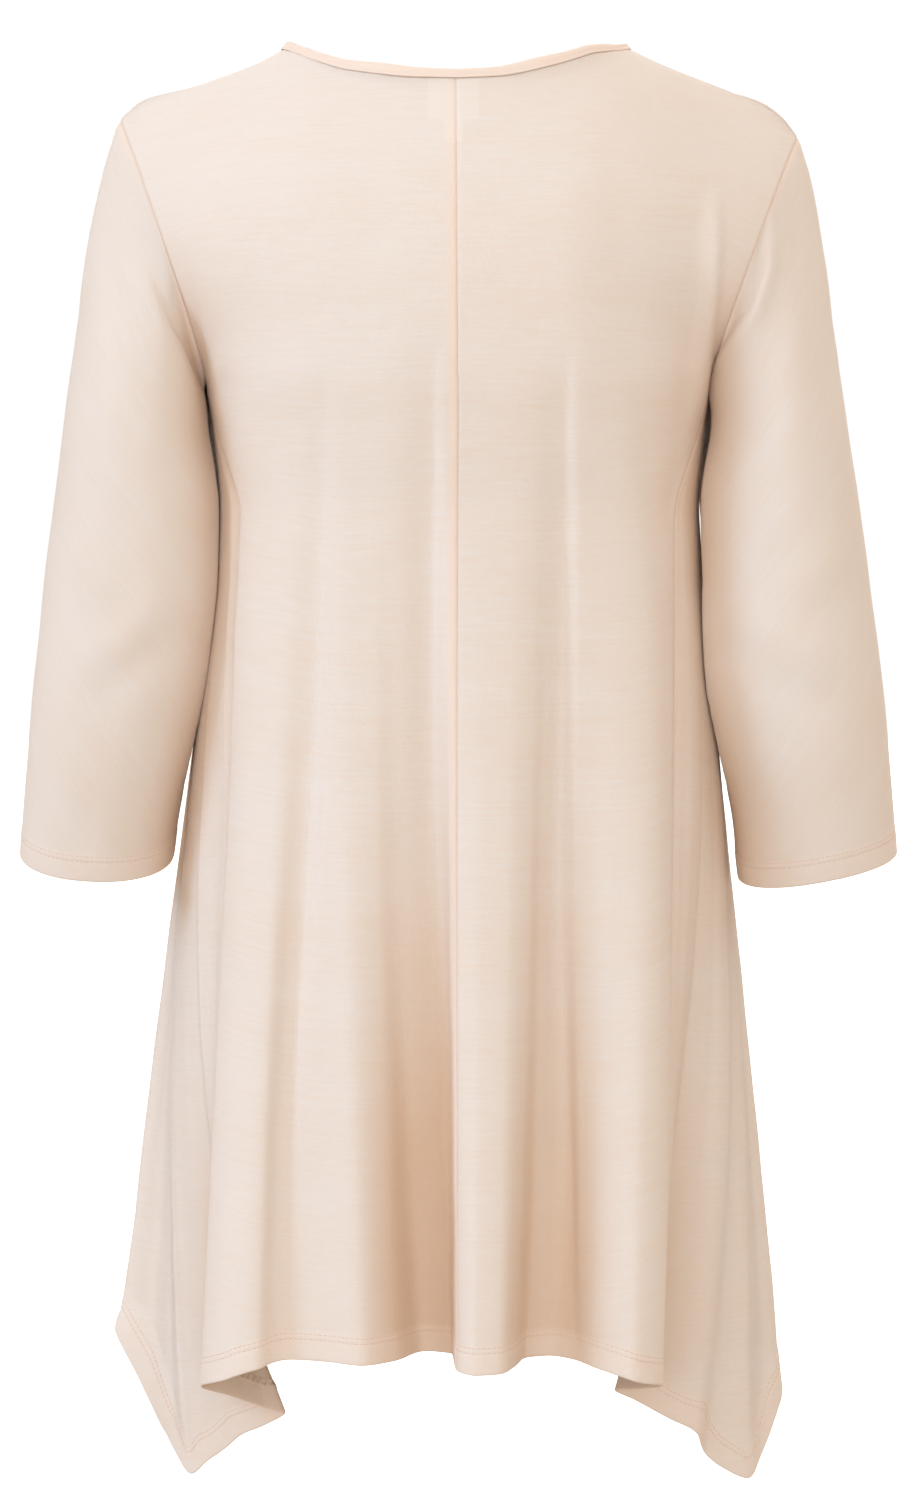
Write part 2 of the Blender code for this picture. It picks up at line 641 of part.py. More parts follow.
def add_binding(path, onward, material):
    """Narrow folded band that stands on the neck edge, clear of the panels under it."""
    centre = path.mean(axis=0)
    inward = centre - path
    inward[:, 2] = 0.0
    inward = unit(inward)
    along = unit(np.roll(path, -1, axis=0) - np.roll(path, 1, axis=0))
    onward = unit(onward - along * np.sum(onward * along, axis=1)[:, None])
    rise = unit(inward * BINDING_INWARD + np.array([0.0, 0.0, BINDING_UP]) + onward * BINDING_ONWARD)
    across = unit(np.cross(rise, along))
    half = BINDING_THICKNESS / 2
    section = ((0.0, half), (0.7, half), (1.0, half * 0.5), (1.0, -half * 0.5), (0.7, -half), (0.0, -half))
    tilt = np.abs(np.sum(across * onward, axis=1))
    lean = np.maximum(np.sum(rise * onward, axis=1), 0.35)
    base = path + rise * ((SEAM_GAP + half * tilt) / lean)[:, None]
    rings = [base + rise * BINDING_HEIGHT * up + across * wide for up, wide in section]
    points = np.array(rings)
    rows, columns = points.shape[:2]
    faces = []
    for r in range(rows):
        for c in range(columns):
            a = r * columns + c
            b = r * columns + (c + 1) % columns
            lower = (r + 1) % rows * columns
            faces.append((a, b, lower + (c + 1) % columns, lower + c))
    add_object("neck_binding", points.reshape(-1, 3), faces, material)


def below_neck(x, drop):
    """Point of the back's outer face at a distance from the middle and down the cloth from the neck."""
    centre = fold_index("centre back")
    places = np.linspace(centre - LABEL_REACH, centre + LABEL_REACH, 200)
    near_top = yoke_point(places, np.full_like(places, 0.97), True)
    place = np.interp(x, near_top[:, 0], places)
    line = yoke_point(np.full(160, place), np.linspace(1.0, 0.6, 160), True)
    down = np.concatenate([[0.0], np.cumsum(np.linalg.norm(np.diff(line, axis=0), axis=1))])
    return [np.interp(drop, down, line[:, k]) for k in range(3)]


def add_label(name, width, top_drop, height, material):
    """Blank woven label hanging inside the back neck, made from the panel's own points."""
    xs = LABEL_CENTRE_X + np.linspace(-width / 2, width / 2, 7)
    drops = top_drop + np.linspace(0.0, height, 4)
    grid = np.array([[below_neck(x, drop) for x in xs] for drop in drops])
    out = unit(np.cross(np.gradient(grid, axis=0), np.gradient(grid, axis=1)))
    face = grid - out * (WALL + SEAM_GAP)
    wall(name, face, face - out * LABEL_THICKNESS, material)


def build_tunic():
    for item in list(bpy.data.objects):
        bpy.data.objects.remove(item, do_unlink=True)
    names = ("back_left", "back_right", "front", "side_panel_left", "side_panel_right")
    cloth = {name: make_material(name + "_cloth", CLOTH_COLOUR) for name in names}
    back_faces = add_back(cloth)
    front_faces = add_front(cloth)
    left_top, right_top = add_side_panels(cloth)
    left_seam = armhole(back_faces, front_faces, left_top, -1)
    right_seam = armhole(back_faces, front_faces, right_top, 1)
    sleeve = make_material("sleeve_left_cloth", CLOTH_COLOUR)
    add_sleeve("sleeve_left", left_seam, SLEEVE_LEFT, CUFF_LEFT, -1, sleeve)
    sleeve = make_material("sleeve_right_cloth", CLOTH_COLOUR)
    add_sleeve("sleeve_right", right_seam, SLEEVE_RIGHT, CUFF_RIGHT, 1, sleeve)
    path, onward = binding_path(back_faces, front_faces)
    add_binding(path, onward, make_material("binding_cloth", BINDING_COLOUR))
    add_label("neck_label", LABEL_WIDTH, LABEL_DROP, LABEL_HEIGHT, make_material("label_weave", LABEL_COLOUR))
    tab_drop = LABEL_DROP + LABEL_HEIGHT + SEAM_GAP
    add_label("size_tab", TAB_WIDTH, tab_drop, TAB_HEIGHT, make_material("tab_weave", LABEL_COLOUR))


build_tunic()
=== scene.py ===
import functools
import math

import bmesh
import bpy
import numpy as np
from bpy.props import FloatProperty, FloatVectorProperty, PointerProperty
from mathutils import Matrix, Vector
from mathutils.bvhtree import BVHTree


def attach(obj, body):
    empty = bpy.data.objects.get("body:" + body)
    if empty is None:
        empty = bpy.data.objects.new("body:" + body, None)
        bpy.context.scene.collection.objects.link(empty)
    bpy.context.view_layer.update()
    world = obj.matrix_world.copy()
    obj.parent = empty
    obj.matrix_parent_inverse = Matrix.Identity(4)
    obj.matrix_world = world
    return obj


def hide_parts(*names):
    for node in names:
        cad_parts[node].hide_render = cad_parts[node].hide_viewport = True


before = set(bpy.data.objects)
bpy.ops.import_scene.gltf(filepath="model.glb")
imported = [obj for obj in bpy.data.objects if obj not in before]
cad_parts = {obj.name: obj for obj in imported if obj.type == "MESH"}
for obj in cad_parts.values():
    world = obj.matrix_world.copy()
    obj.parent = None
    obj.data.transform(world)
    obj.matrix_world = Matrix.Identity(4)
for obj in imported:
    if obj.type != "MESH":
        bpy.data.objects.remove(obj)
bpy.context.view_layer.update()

bl_info = {
    "name": "Loose jersey tunic",
    "version": (1, 0, 0),
    "blender": (4, 5, 0),
    "location": "3D View > Sidebar > Tunic",
    "description": "Cloth, seams, stitching and studio of a loose jersey tunic",
    "category": "Object",
}

# Form of the garment, in metres
SOLID_WALL = 0.0016
SOLID_GAP = 0.0003
UNDERARM_Z = -0.210
WAIST_Z = -0.292
ROUNDNESS = 2.4
FLARE_START_Z = -0.231
FLARE_POWER = 1.18
HEM_HALF_WIDTH = 0.201
HEM_DEPTH = 0.128
HEM_SHIFT = -0.0075
MEAN_HEM_Z = -0.790
NECK_CENTRE_X = -0.0012

# Body outline at each height: z, half width, depth of the back, depth of the front.
SECTIONS = (
    (-0.0465, 0.2068, 0.070, 0.060),
    (-0.1000, 0.1850, 0.100, 0.092),
    (-0.1300, 0.1752, 0.108, 0.106),
    (-0.1600, 0.1660, 0.111, 0.113),
    (-0.1900, 0.1580, 0.112, 0.116),
    (-0.2100, 0.1545, 0.112, 0.116),
    (-0.2430, 0.1490, 0.110, 0.114),
    (-0.2920, 0.1440, 0.106, 0.110),
    (-0.3500, 0.1440, 0.106, 0.110),
    (-0.9000, 0.1440, 0.106, 0.110),
)

# Fall lines around the body, from the left front seam by way of the back. Turns are degrees from
# the left side at the underarm and at the waist; then the hem point, and how late the fold opens.
FOLDS = (
    ("front seam left", -10, -30, -0.1760, 0.0880, -0.7830, 1.0),
    ("left side front", -8, -21, -0.2000, 0.0580, -0.7860, 1.0),
    ("left side", -6, -12, -0.2100, 0.0200, -0.7920, 1.0),
    ("left slope high", -4, -6, -0.1921, 0.0060, -0.8231, 2.0),
    ("left slope low", -2, 0, -0.1741, -0.0040, -0.8603, 2.6),
    ("left point", 0, 4, -0.1633, -0.0100, -0.8734, 3.0),
    ("left run 1", 1, 8, -0.1525, -0.0160, -0.8639, 3.0),
    ("left run 2", 2.5, 11, -0.1424, -0.0220, -0.8556, 3.0),
    ("left run 3", 4, 15, -0.1309, -0.0320, -0.8439, 3.0),
    ("left run 4", 5.5, 19, -0.1159, -0.0420, -0.8353, 3.0),
    ("left inner fold", 7, 22, -0.1047, -0.0500, -0.8267, 3.0),
    ("left return 1", 8, 24, -0.1168, -0.0580, -0.8204, 2.6),
    ("left return 2", 9, 27, -0.1348, -0.0740, -0.8099, 1.8),
    ("back seam left", 10, 30, -0.1512, -0.0930, -0.7999, 1.1),
    ("back ridge 1", 22, 38, -0.1331, -0.1200, -0.7886, 1.1),
    ("back slope 1", 36, 48, -0.1155, -0.1240, -0.7824, 1.1),
    ("neck point left", 50, 57, -0.0975, -0.1130, -0.7793, 1.2),
    ("back slope 2", 60, 62, -0.0770, -0.1185, -0.7791, 1.2),
    ("back ridge 2", 67, 67, -0.0553, -0.1290, -0.7789, 1.2),
    ("back slope 3", 74, 74, -0.0365, -0.1180, -0.7787, 1.3),
    ("back valley 2", 80, 80, -0.0193, -0.0975, -0.7783, 1.4),
    ("back flank 1", 86, 87, -0.0058, -0.0980, -0.7794, 1.6),
    ("centre back", 90, 90, -0.0011, -0.1390, -0.7794, 1.3),
    ("back ridge 3", 94, 94, 0.0097, -0.1500, -0.7796, 1.3),
    ("back slope 4", 99, 99, 0.0240, -0.1470, -0.7794, 1.3),
    ("back flank 2", 104, 104, 0.0322, -0.1300, -0.7793, 1.4),
    ("back flank 3", 108, 108, 0.0390, -0.1090, -0.7791, 1.4),
    ("back valley 3", 113, 113, 0.0525, -0.1045, -0.7790, 1.3),
    ("back slope 5", 119, 119, 0.0679, -0.1140, -0.7796, 1.2),
    ("neck point right", 128, 127, 0.0820, -0.1250, -0.7822, 1.1),
    ("back ridge 4", 144, 137, 0.1001, -0.1310, -0.7871, 1.1),
    ("back seam right", 170, 151, 0.1186, -0.1100, -0.7951, 1.1),
    ("right return 1", 171, 154, 0.1068, -0.0900, -0.8018, 1.8),
    ("right inner fold", 172.5, 158, 0.0934, -0.0620, -0.8099, 2.2),
    ("right run 1", 174, 161, 0.1050, -0.0550, -0.8170, 2.2),
    ("right run 2", 175, 164.5, 0.1253, -0.0450, -0.8303, 2.2),
    ("right run 3", 176.5, 168, 0.1439, -0.0360, -0.8423, 2.4),
    ("right step", 178, 171, 0.1488, -0.0260, -0.8557, 2.8),
    ("right run 4", 179, 173, 0.1596, -0.0180, -0.8670, 2.8),
    ("right point", 180.5, 176, 0.1774, -0.0080, -0.8764, 2.8),
    ("right slope low", 182, 180, 0.1850, 0.0020, -0.8662, 2.4),
    ("right slope high", 184, 185, 0.1957, 0.0120, -0.8430, 1.6),
    ("right side", 186, 191, 0.2003, 0.0220, -0.8301, 1.2),
    ("right side front", 188, 199, 0.1900, 0.0550, -0.8030, 1.0),
    ("front seam right", 190, 209, 0.1630, 0.0900, -0.7870, 1.0),
    ("front ridge 1", 204, 222, 0.1400, 0.1260, -0.7830, 1.1),
    ("front valley 1", 218, 236, 0.1040, 0.1030, -0.7800, 1.2),
    ("front neck right", 232, 250, 0.0680, 0.1330, -0.7790, 1.2),
    ("front valley 2", 246, 261, 0.0300, 0.1060, -0.7780, 1.3),
    ("centre front", 262, 271, -0.0060, 0.1420, -0.7780, 1.3),
    ("front valley 3", 279, 283, -0.0460, 0.1040, -0.7780, 1.3),
    ("front ridge 4", 295, 297, -0.0880, 0.1350, -0.7790, 1.2),
    ("front neck left", 310, 309, -0.1200, 0.1060, -0.7810, 1.1),
    ("front ridge 5", 328, 319, -0.1480, 0.1220, -0.7820, 1.1),
)

# Shoulder line from the neck to the sleeve: x, z.
SHOULDER_LEFT = (
    (-0.1070, -0.0036),
    (-0.1169, -0.0114),
    (-0.1248, -0.0159),
    (-0.1457, -0.0234),
    (-0.1732, -0.0299),
    (-0.1867, -0.0326),
    (-0.1952, -0.0363),
    (-0.2001, -0.0400),
    (-0.2068, -0.0470),
)
SHOULDER_RIGHT = (
    (0.1040, -0.0036),
    (0.1169, -0.0113),
    (0.1267, -0.0154),
    (0.1457, -0.0226),
    (0.1646, -0.0297),
    (0.1756, -0.0326),
    (0.1854, -0.0363),
    (0.1916, -0.0400),
    (0.2001, -0.0473),
    (0.2072, -0.0569),
)

# Neck edge: share of the half width from the centre, y, z.
NECK_BACK = (
    (0.00, -0.0660, -0.0285),
    (0.25, -0.0640, -0.0276),
    (0.47, -0.0580, -0.0247),
    (0.63, -0.0500, -0.0214),
    (0.78, -0.0380, -0.0155),
    (0.93, -0.0200, -0.0078),
    (0.98, -0.0100, -0.0050),
    (1.00, 0.0000, -0.0036),
)
NECK_FRONT = (
    (0.00, 0.0840, -0.1030),
    (0.25, 0.0815, -0.0985),
    (0.47, 0.0750, -0.0860),
    (0.63, 0.0680, -0.0705),
    (0.78, 0.0570, -0.0490),
    (0.93, 0.0330, -0.0190),
    (0.98, 0.0160, -0.0075),
    (1.00, 0.0000, -0.0036),
)

# The right half of the back neck edge stands higher: height, where, and how far it reaches to each side.
NECK_RISE = 0.0054
NECK_RISE_AT = 0.74
NECK_RISE_REACH = (0.33, 0.16)
NECK_RISE_END = 0.12

# Sleeves, seen from the back: z, outer x, inner x, y of the middle, half depth.
SLEEVE_LEFT = (
    (-0.0470, -0.2068, -0.1740, 0.000, 0.018),
    (-0.0840, -0.2171, -0.1640, 0.000, 0.037),
    (-0.1328, -0.2265, -0.1560, -0.004, 0.050),
    (-0.1820, -0.2335, -0.1520, -0.010, 0.057),
    (-0.2315, -0.2390, -0.1500, -0.016, 0.058),
    (-0.2800, -0.2444, -0.1425, -0.022, 0.056),
    (-0.3285, -0.2499, -0.1430, -0.027, 0.053),
    (-0.3770, -0.2547, -0.1490, -0.028, 0.052),
    (-0.4256, -0.2596, -0.1595, -0.024, 0.051),
    (-0.4741, -0.2644, -0.1704, -0.016, 0.050),
    (-0.5100, -0.2675, -0.1750, -0.010, 0.049),
)
SLEEVE_RIGHT = (
    (-0.0569, 0.2072, 0.1740, 0.000, 0.018),
    (-0.0840, 0.2150, 0.1640, 0.000, 0.037),
    (-0.1328, 0.2230, 0.1560, -0.004, 0.050),
    (-0.1820, 0.2290, 0.1520, -0.010, 0.057),
    (-0.2315, 0.2353, 0.1500, -0.016, 0.058),
    (-0.2800, 0.2420, 0.1420, -0.022, 0.056),
    (-0.3285, 0.2480, 0.1428, -0.027, 0.053),
    (-0.3770, 0.2541, 0.1450, -0.028, 0.052),
    (-0.4256, 0.2596, 0.1545, -0.024, 0.051),
    (-0.4741, 0.2644, 0.1656, -0.016, 0.050),
    (-0.5150, 0.2680, 0.1712, -0.010, 0.049),
)
# Cuff edge: height at the middle, rise toward the front, rise toward the outer side.
CUFF_LEFT = (-0.4945, 0.26, 0.06)
CUFF_RIGHT = (-0.5015, 0.12, 0.19)

ARMHOLE_BULGE = 0.032
ARMHOLE_BULGE_POWER = 0.9
ARMHOLE_FADE_TURN = 46.0
ARMHOLE_TURN = 10.0
YOKE_WIDENING = 1.25
YOKE_LEAN = 0.22
YOKE_ROLL_POWER = 3.2
SHOULDER_ROLL = 0.9
YOKE_SPACING = 1.7
SLEEVE_FADE = 0.42
SLEEVE_SEAM_GAP = 0.0007
SLEEVE_CLEARANCE = 0.0010
SLEEVE_CLEARANCE_DROP = 0.035
SLEEVE_ROUNDNESS = 2.2

# Cloth, seams and stitching
CLOTH_THICKNESS = 0.0008
HEM_EXTRA = 0.0006
HEM_LIFT = 0.00035
HEM_BAND = 0.0160
BAND_STEP = 0.0008
EDGE_ROUND = 0.0011
EDGE_SHARE = 0.2
UPPER_ROW = 0.0152
LOWER_ROW = 0.0122
HEM_STEPS = (
    0.0225, 0.0195, 0.0178, 0.0168, 0.0160, 0.0156, UPPER_ROW, 0.0148, 0.0142, 0.0134, 0.0127,
    LOWER_ROW, 0.0117, 0.0110, 0.0098, 0.0080, 0.0060, 0.0040, 0.0022, 0.0010, 0.0004, 0.0,
)
SEAM_SINK = 0.00055
SEAM_WIDTH = 0.0009
SEAM_REST = 0.006
ALLOWANCE = 0.0062
ALLOWANCE_STEP = 0.0012
SLEEVE_ALLOWANCE_LESS = 0.0018
STITCH_SHARE = 0.40
STITCH_SIZES = (0.88, 1.10)
STITCH_SEED = 11
STITCH_SIDES = 6
STITCH_RINGS = 5
LOOPER_SIDES = 5
STITCH_SINK = 0.00022
STITCH_WIDTH = 0.0006
CREASE_TURNOVER = 0.012
CREASE_TAPER = 0.7

# Slow waves of the cloth: the share of each pair, then how each of the two runs along x, y and z and
# where it starts, in radians.
UNEVEN_WAVES = (
    (1.0, (61, 0, 23, 1.3), (0, -31, 47, 0.4)),
    (0.6, (118, 0, -37, 2.1), (0, 59, 83, 1.9)),
)
UNEVEN_HEIGHT = 0.00022
# Small waves of the cloth, in radians a metre: the waves, their crowding, and how much they crowd.
HEM_PUCKER = (760.0, 90.0, 2.0)
SEAM_RIPPLE = (640.0, 57.0, 1.7)
BINDING_SWELL = (420.0, 61.0, 1.4)
WAVE_HEIGHT = 0.00010
PUCKER_AT = 0.009
PUCKER_REACH = 0.006
RIPPLE_REACH = 0.004

# Short steps, counted in fall lines and in shares of one, that slopes are read from.
SMALL_TURN = 0.05
SMALL_FALL = 0.003
HEM_TURN = 0.06
HEM_FALL = 0.02
SLEEVE_FALL = 0.05
NECK_FALL = 0.015

# Rows and columns of the shells. The first are closer together, counted in fall lines at a seam of the
# body and in shares of the sleeve at the armhole.
SEAM_COLUMNS = (0.012, 0.030, 0.055, 0.090, 0.150)
SEAM_CLEAR = 0.25
ARMHOLE_SHARES = (0.0, 0.0015, 0.004, 0.008, 0.013)
YOKE_ROWS = 56
BODY_ROWS = 108
SLEEVE_ROWS = 120
SLEEVE_COLUMNS = 168
EASE_COLUMNS = 121
BINDING_POINTS = 460
NECK_POINTS = 300

# How firmly the yoke's lines are eased out, and how far from the top edge and the underarm that is
# held back; then the same for the sleeve, in shares of its length.
EASE_ROUNDS = 70
EASE_HOLD = 0.9
EASE_BELOW_TOP = 0.014
EASE_ABOVE_UNDERARM = 0.25
RELAX_ROUNDS = 60
RELAX_HOLD = 0.6
RELAX_PULLS = (1.0, -1.05)
RELAX_BELOW_ARMHOLE = 0.03
RELAX_FADE = (0.38, 0.30)

# Light is lost in hollows, and that loss is painted into the cloth's colour as shade: rays from each place,
# how far they look, and how much the other pieces count.
HOLLOW_RAYS = 40
HOLLOW_REACH = 0.16
HOLLOW_LIFT = 0.004
HOLLOW_SPREAD = 0.98
HOLLOW_ROW_STEP = 5
HOLLOW_COLUMN_STEP = 4
HOLLOW_ROUNDS = 3
TREE_STEP = 3
OTHER_PIECES = 0.35
# Painted shade on the inner faces, and the most painted shade that the cloth takes.
INSIDE_PAINTED_SHADE = 0.16
DEEPEST_PAINTED_SHADE = 0.65

# Outer line of the folded binding's section, in millimetres: up from the neck edge, and out of the cloth.
BINDING_SECTION = (
    (-1.5, 0.50), (-0.9, 0.62), (-0.1, 0.74), (0.9, 0.74), (1.6, 0.98), (2.8, 1.18), (4.0, 1.18),
    (4.8, 0.95), (5.3, 0.50), (5.45, 0.0), (5.3, -0.50), (4.8, -0.95), (4.0, -1.20), (2.8, -1.22),
    (1.6, -1.08), (0.9, -0.90), (-0.1, -1.08), (-0.9, -1.04), (-1.5, -0.9),
)
BINDING_LAYER = 0.45
BINDING_FOOT = 1.6
# How much the binding leans to the neck's middle, upward and the way that the cloth runs on.
BINDING_LEAN = (0.62, 0.78, 0.60)
BINDING_ROUNDS = 30
BINDING_SWELLING = 0.05
# Painted shade on the underside of the binding.
BINDING_PAINTED_SHADE = 0.2
# Share, place and reach: the seam's colour up the section, in millimetres, and where along x the
# binding stands taller or lower than elsewhere.
BINDING_SEAM = (0.25, 0.9, 0.6)
BINDING_TALL = (0.3, 0.046, 0.02)
BINDING_LOW = (0.35, 0.104, 0.010)
NECK_STITCH_UP = 0.0009
NECK_STITCH_OUT = 0.00085
STITCH_STAND = 0.00010
LOOPER_STAND = 0.00014
LOOPER_PITCH = 0.0022

LABEL_WIDTH = 0.030
LABEL_HEIGHT = 0.026
TAB_WIDTH = 0.011
TAB_HEIGHT = 0.0145
LABEL_DROP = 0.0035
LABEL_CENTRE_X = -0.0030
LABEL_THICKNESS = 0.00055
LABEL_CURL = 0.0006
LABEL_CURL_FROM = 0.6
# Fall lines on both sides of the centre among which the label lies, and its levels on the yoke.
LABEL_SEARCH = 7
LABEL_LEVEL = 0.97
LABEL_LOWEST = 0.6
LABEL_SEARCH_POINTS = 200
LABEL_FALL_POINTS = 160
LABEL_ROWS = 21
LABEL_COLUMNS = 25
LABEL_COLOURS = ((0.86, 0.80, 0.74, 1.0), (0.95, 0.91, 0.86, 1.0))

# Where the label and the tab show through the back: width, top, height and strength.
SHOW_THROUGH = (
    (LABEL_WIDTH, -0.0297, LABEL_HEIGHT * 0.97, 1.0),
    (TAB_WIDTH, -0.0549, TAB_HEIGHT * 0.99, 0.8),
)
SHOW_EDGE = 0.0012
# It shows on the back alone: what a metre of depth adds, and what is taken off again.
SHOW_BEHIND = (200.0, 2.0)
SHOW_COLOUR = (0.96, 0.90, 0.85, 1.0)
ALLOWANCE_SHOW = 0.8
BAND_SHOW = 0.3
SEAM_SHOW = 0.6
NOISE_ROUGHNESS = 0.55
SHEEN_TINT = (1.0, 0.93, 0.88, 1.0)
SHEEN_ROUGHNESS = 0.45
JERSEY_SHEEN = 0.22
JERSEY_SHINE = 0.35
PALE_THREAD = (0.84, 0.69, 0.60, 1.0)
THREAD_TWISTS = 900.0
THREAD_RELIEF = 0.00005
LABEL_RELIEF = 0.00006
LABEL_WARP = 9000.0
LABEL_WEFT = 7000.0
# Fine, streaked, cloudy and speckled yarn: how often it changes in a metre across and down the cloth,
# and how much detail that has.
YARN_CHANGES = (
    ((75.0, 1500.0, 1.0), 3.0),
    ((24.0, 520.0, 1.0), 3.0),
    ((5.0, 26.0, 1.0), 2.0),
    ((900.0, 1500.0, 1.0), 1.0),
)

# Creases of the body: side of the garment, height, half width, then the points that the crease runs through
# (x, z), downward. All in millimetres. Two half widths are those towards -x and +x: a fold that lies over
# has a steep side and a gentle one.
BACK, FRONT, BOTH = -1, 1, 0
BODY_CREASES = (
    (BACK, 3.6, (5, 3), (
        (154, -95), (153.5, -125), (152, -150), (150, -175), (148, -195), (144, -235))),
    (BACK, -2.8, (24, 6), (
        (141, -100), (141, -140), (140, -165), (138, -190), (135, -215), (131, -245), (124, -300))),
    (BACK, 3.8, (24, 12), (
        (80, -150), (94.8, -222), (99, -268), (104, -315), (108, -361), (110, -407), (112, -560),
        (116, -800))),
    (BACK, -6.8, (15, 4.5), (
        (-15, -190), (-15, -315), (-16, -407), (-15, -511), (-12, -600), (-9, -700), (-8, -800))),
    (BACK, -2.2, (12, 5), ((-16, -260), (-17, -400), (-15, -511), (-12, -600), (-9, -680))),
    (BACK, -6.2, (13, 4.5), ((62, -190), (62, -360), (60, -511), (62, -640), (65, -740), (67, -800))),
    (BACK, -1.8, (9, 4.5), ((63, -260), (62, -400), (60, -511), (62, -620), (64, -700))),
    (BACK, -5.2, (9, 7), (
        (-79, -205), (-82, -300), (-85, -400), (-90, -500), (-97, -570), (-102, -640), (-106, -730),
        (-108, -840))),
    (BOTH, 3.0, 30, (
        (-152, -330), (-158, -395), (-163, -454), (-172, -525), (-181, -598), (-188, -660),
        (-194, -720))),
    (BOTH, 4.6, 14, ((-205, -780), (-202, -796), (-197, -812), (-191, -829), (-183, -852))),
    (BOTH, 3.8, 30, (
        (148, -330), (152, -395), (158, -454), (165, -525), (173, -598), (181, -672), (188, -745),
        (191, -800))),
    (BACK, 3.2, (6, 20), (
        (-156, -110), (-152, -150), (-147, -185), (-142, -215), (-137, -245), (-133, -268),
        (-131, -315), (-134, -370), (-142, -430))),
    (BACK, -0.8, (3, 6), ((-141, -175), (-139, -205), (-136, -245), (-134, -290))),
    (BACK, 0.9, 14, ((-95, -60), (-98, -110), (-96, -170), (-92, -230))),
    (BACK, -0.7, 12, ((90, -55), (95, -110), (97, -170), (95, -240))),
    (BACK, 0.7, 15, ((60, -90), (66, -150), (68, -220), (66, -290))),
    (BACK, -0.6, 16, ((-50, -80), (-55, -150), (-56, -220), (-52, -300))),
    (FRONT, 1.5, 10, ((-150, -110), (-146, -150), (-140, -195), (-134, -240))),
    (FRONT, -1.2, 9, ((-138, -120), (-132, -165), (-126, -210), (-121, -260))),
    (FRONT, 1.3, 10, ((152, -120), (147, -160), (141, -205), (136, -250))),
    (FRONT, -1.1, 9, ((140, -130), (135, -175), (129, -220), (124, -265))),
    (FRONT, 0.8, 14, ((60, -120), (66, -180), (68, -240), (64, -300))),
    (FRONT, -0.7, 14, ((-64, -125), (-70, -190), (-70, -250), (-66, -310))),
)
# Creases of the sleeves, in the same columns.
LEFT_SLEEVE_CREASES = (
    (BOTH, 2.2, 16, ((-200, -30), (-212, -66), (-218, -92), (-225, -125), (-231, -165))),
    (BACK, 1.8, 24, ((-146, -270), (-150, -320), (-155, -365), (-160, -405), (-166, -450))),
    (BACK, -2.8, (2.6, 9), (
        (-194, -118), (-189, -132), (-177, -157), (-168, -175), (-161, -187), (-156, -201),
        (-150, -216), (-145, -245))),
    (BACK, 1.8, (9, 4), (
        (-196, -138), (-184, -162), (-175, -180), (-167, -194), (-161, -210), (-155, -240))),
    (BACK, -1.3, (5, 8), ((-195, -110), (-194, -142), (-184.5, -165), (-175, -182), (-166, -205))),
    (BACK, -0.9, (5, 8), ((-208, -118), (-207, -150), (-206, -190))),
    (BACK, 1.4, 14, ((-214, -160), (-209, -200), (-202, -240), (-192, -290))),
    (BACK, 1.6, 12, ((-170, -330), (-186, -352), (-206, -366), (-226, -374))),
    (BACK, -1.5, 12, ((-166, -352), (-184, -376), (-206, -392), (-230, -398))),
    (BACK, 1.0, 14, ((-232, -300), (-216, -322), (-196, -334), (-176, -338))),
    (FRONT, 2.4, 9, ((-192, -120), (-180, -155), (-168, -190), (-160, -225))),
    (FRONT, -2.4, 9, ((-204, -130), (-192, -170), (-178, -208), (-166, -245))),
    (FRONT, 1.6, 13, ((-176, -320), (-194, -340), (-214, -352), (-232, -356))),
    (FRONT, -1.5, 12, ((-176, -344), (-196, -366), (-218, -378), (-238, -380))),
)
RIGHT_SLEEVE_CREASES = (
    (BOTH, 1.3, 16, ((200, -38), (210, -72), (216, -98), (222, -130), (228, -170))),
    (BACK, 1.8, 24, ((144, -330), (148, -360), (152, -390), (158, -420), (164, -450))),
    (BACK, -3.6, (12, 22), (
        (152, -215), (154, -270), (157, -320), (161, -370), (168, -430), (176, -490))),
    (BACK, 3.6, (3.4, 7), (
        (188, -108), (184, -142), (177, -163), (166, -179), (158, -191), (151, -204), (146, -225))),
    (BACK, -3.2, (6, 3), (
        (184, -112), (180, -145), (172, -168), (161, -183), (155, -192), (150, -206))),
    (BACK, -1.2, 10, ((192, -140), (188, -172), (180, -200), (172, -232), (166, -262))),
    (BACK, 1.8, (12, 14), ((203, -130), (202, -157), (199, -194), (195, -250), (191, -310))),
    (BACK, 1.6, 12, ((166, -338), (182, -356), (202, -368), (224, -372))),
    (BACK, -1.5, 12, ((162, -362), (180, -384), (202, -398), (228, -402))),
    (BACK, 0.9, 14, ((230, -296), (214, -320), (194, -332), (172, -334))),
    (FRONT, 2.4, 9, ((190, -125), (178, -160), (168, -192), (160, -228))),
    (FRONT, -2.4, 9, ((202, -132), (190, -172), (176, -212), (166, -250))),
    (FRONT, 1.5, 13, ((174, -326), (192, -346), (212, -358), (232, -360))),
    (FRONT, -1.4, 12, ((174, -350), (194, -372), (216, -384), (238, -386))),
)

# Studio
FOCUS_DISTANCE = 2.2
METRES_PER_PIXEL = 0.000612
PHOTO_HEIGHT = 1500
CAMERA_Z = -0.28
LENS_AXIS_ROW = 500
SENSOR = 36.0
NEAREST_SEEN = 0.05
FARTHEST_SEEN = 60.0
FLOOR_Z = -1.36
FLOOR_RADIUS = 14.0
FLOOR_SIDES = 96
FLOOR_ROUGHNESS = 0.9
FLOOR_EMISSION = 0.62
FLOOR_GLOW = (0.50, 0.41, 0.31, 1.0)
FLOOR_COLOUR = (0.94, 0.94, 0.94, 1.0)
WHITE = (1.0, 1.0, 1.0, 1.0)
AIR_STRENGTH = 0.84
AIR_SEEN_MORE = 0.18
AIR_TINT = (1.0, 0.83, 0.67, 1.0)
LAMP_DISTANCE = 3.0
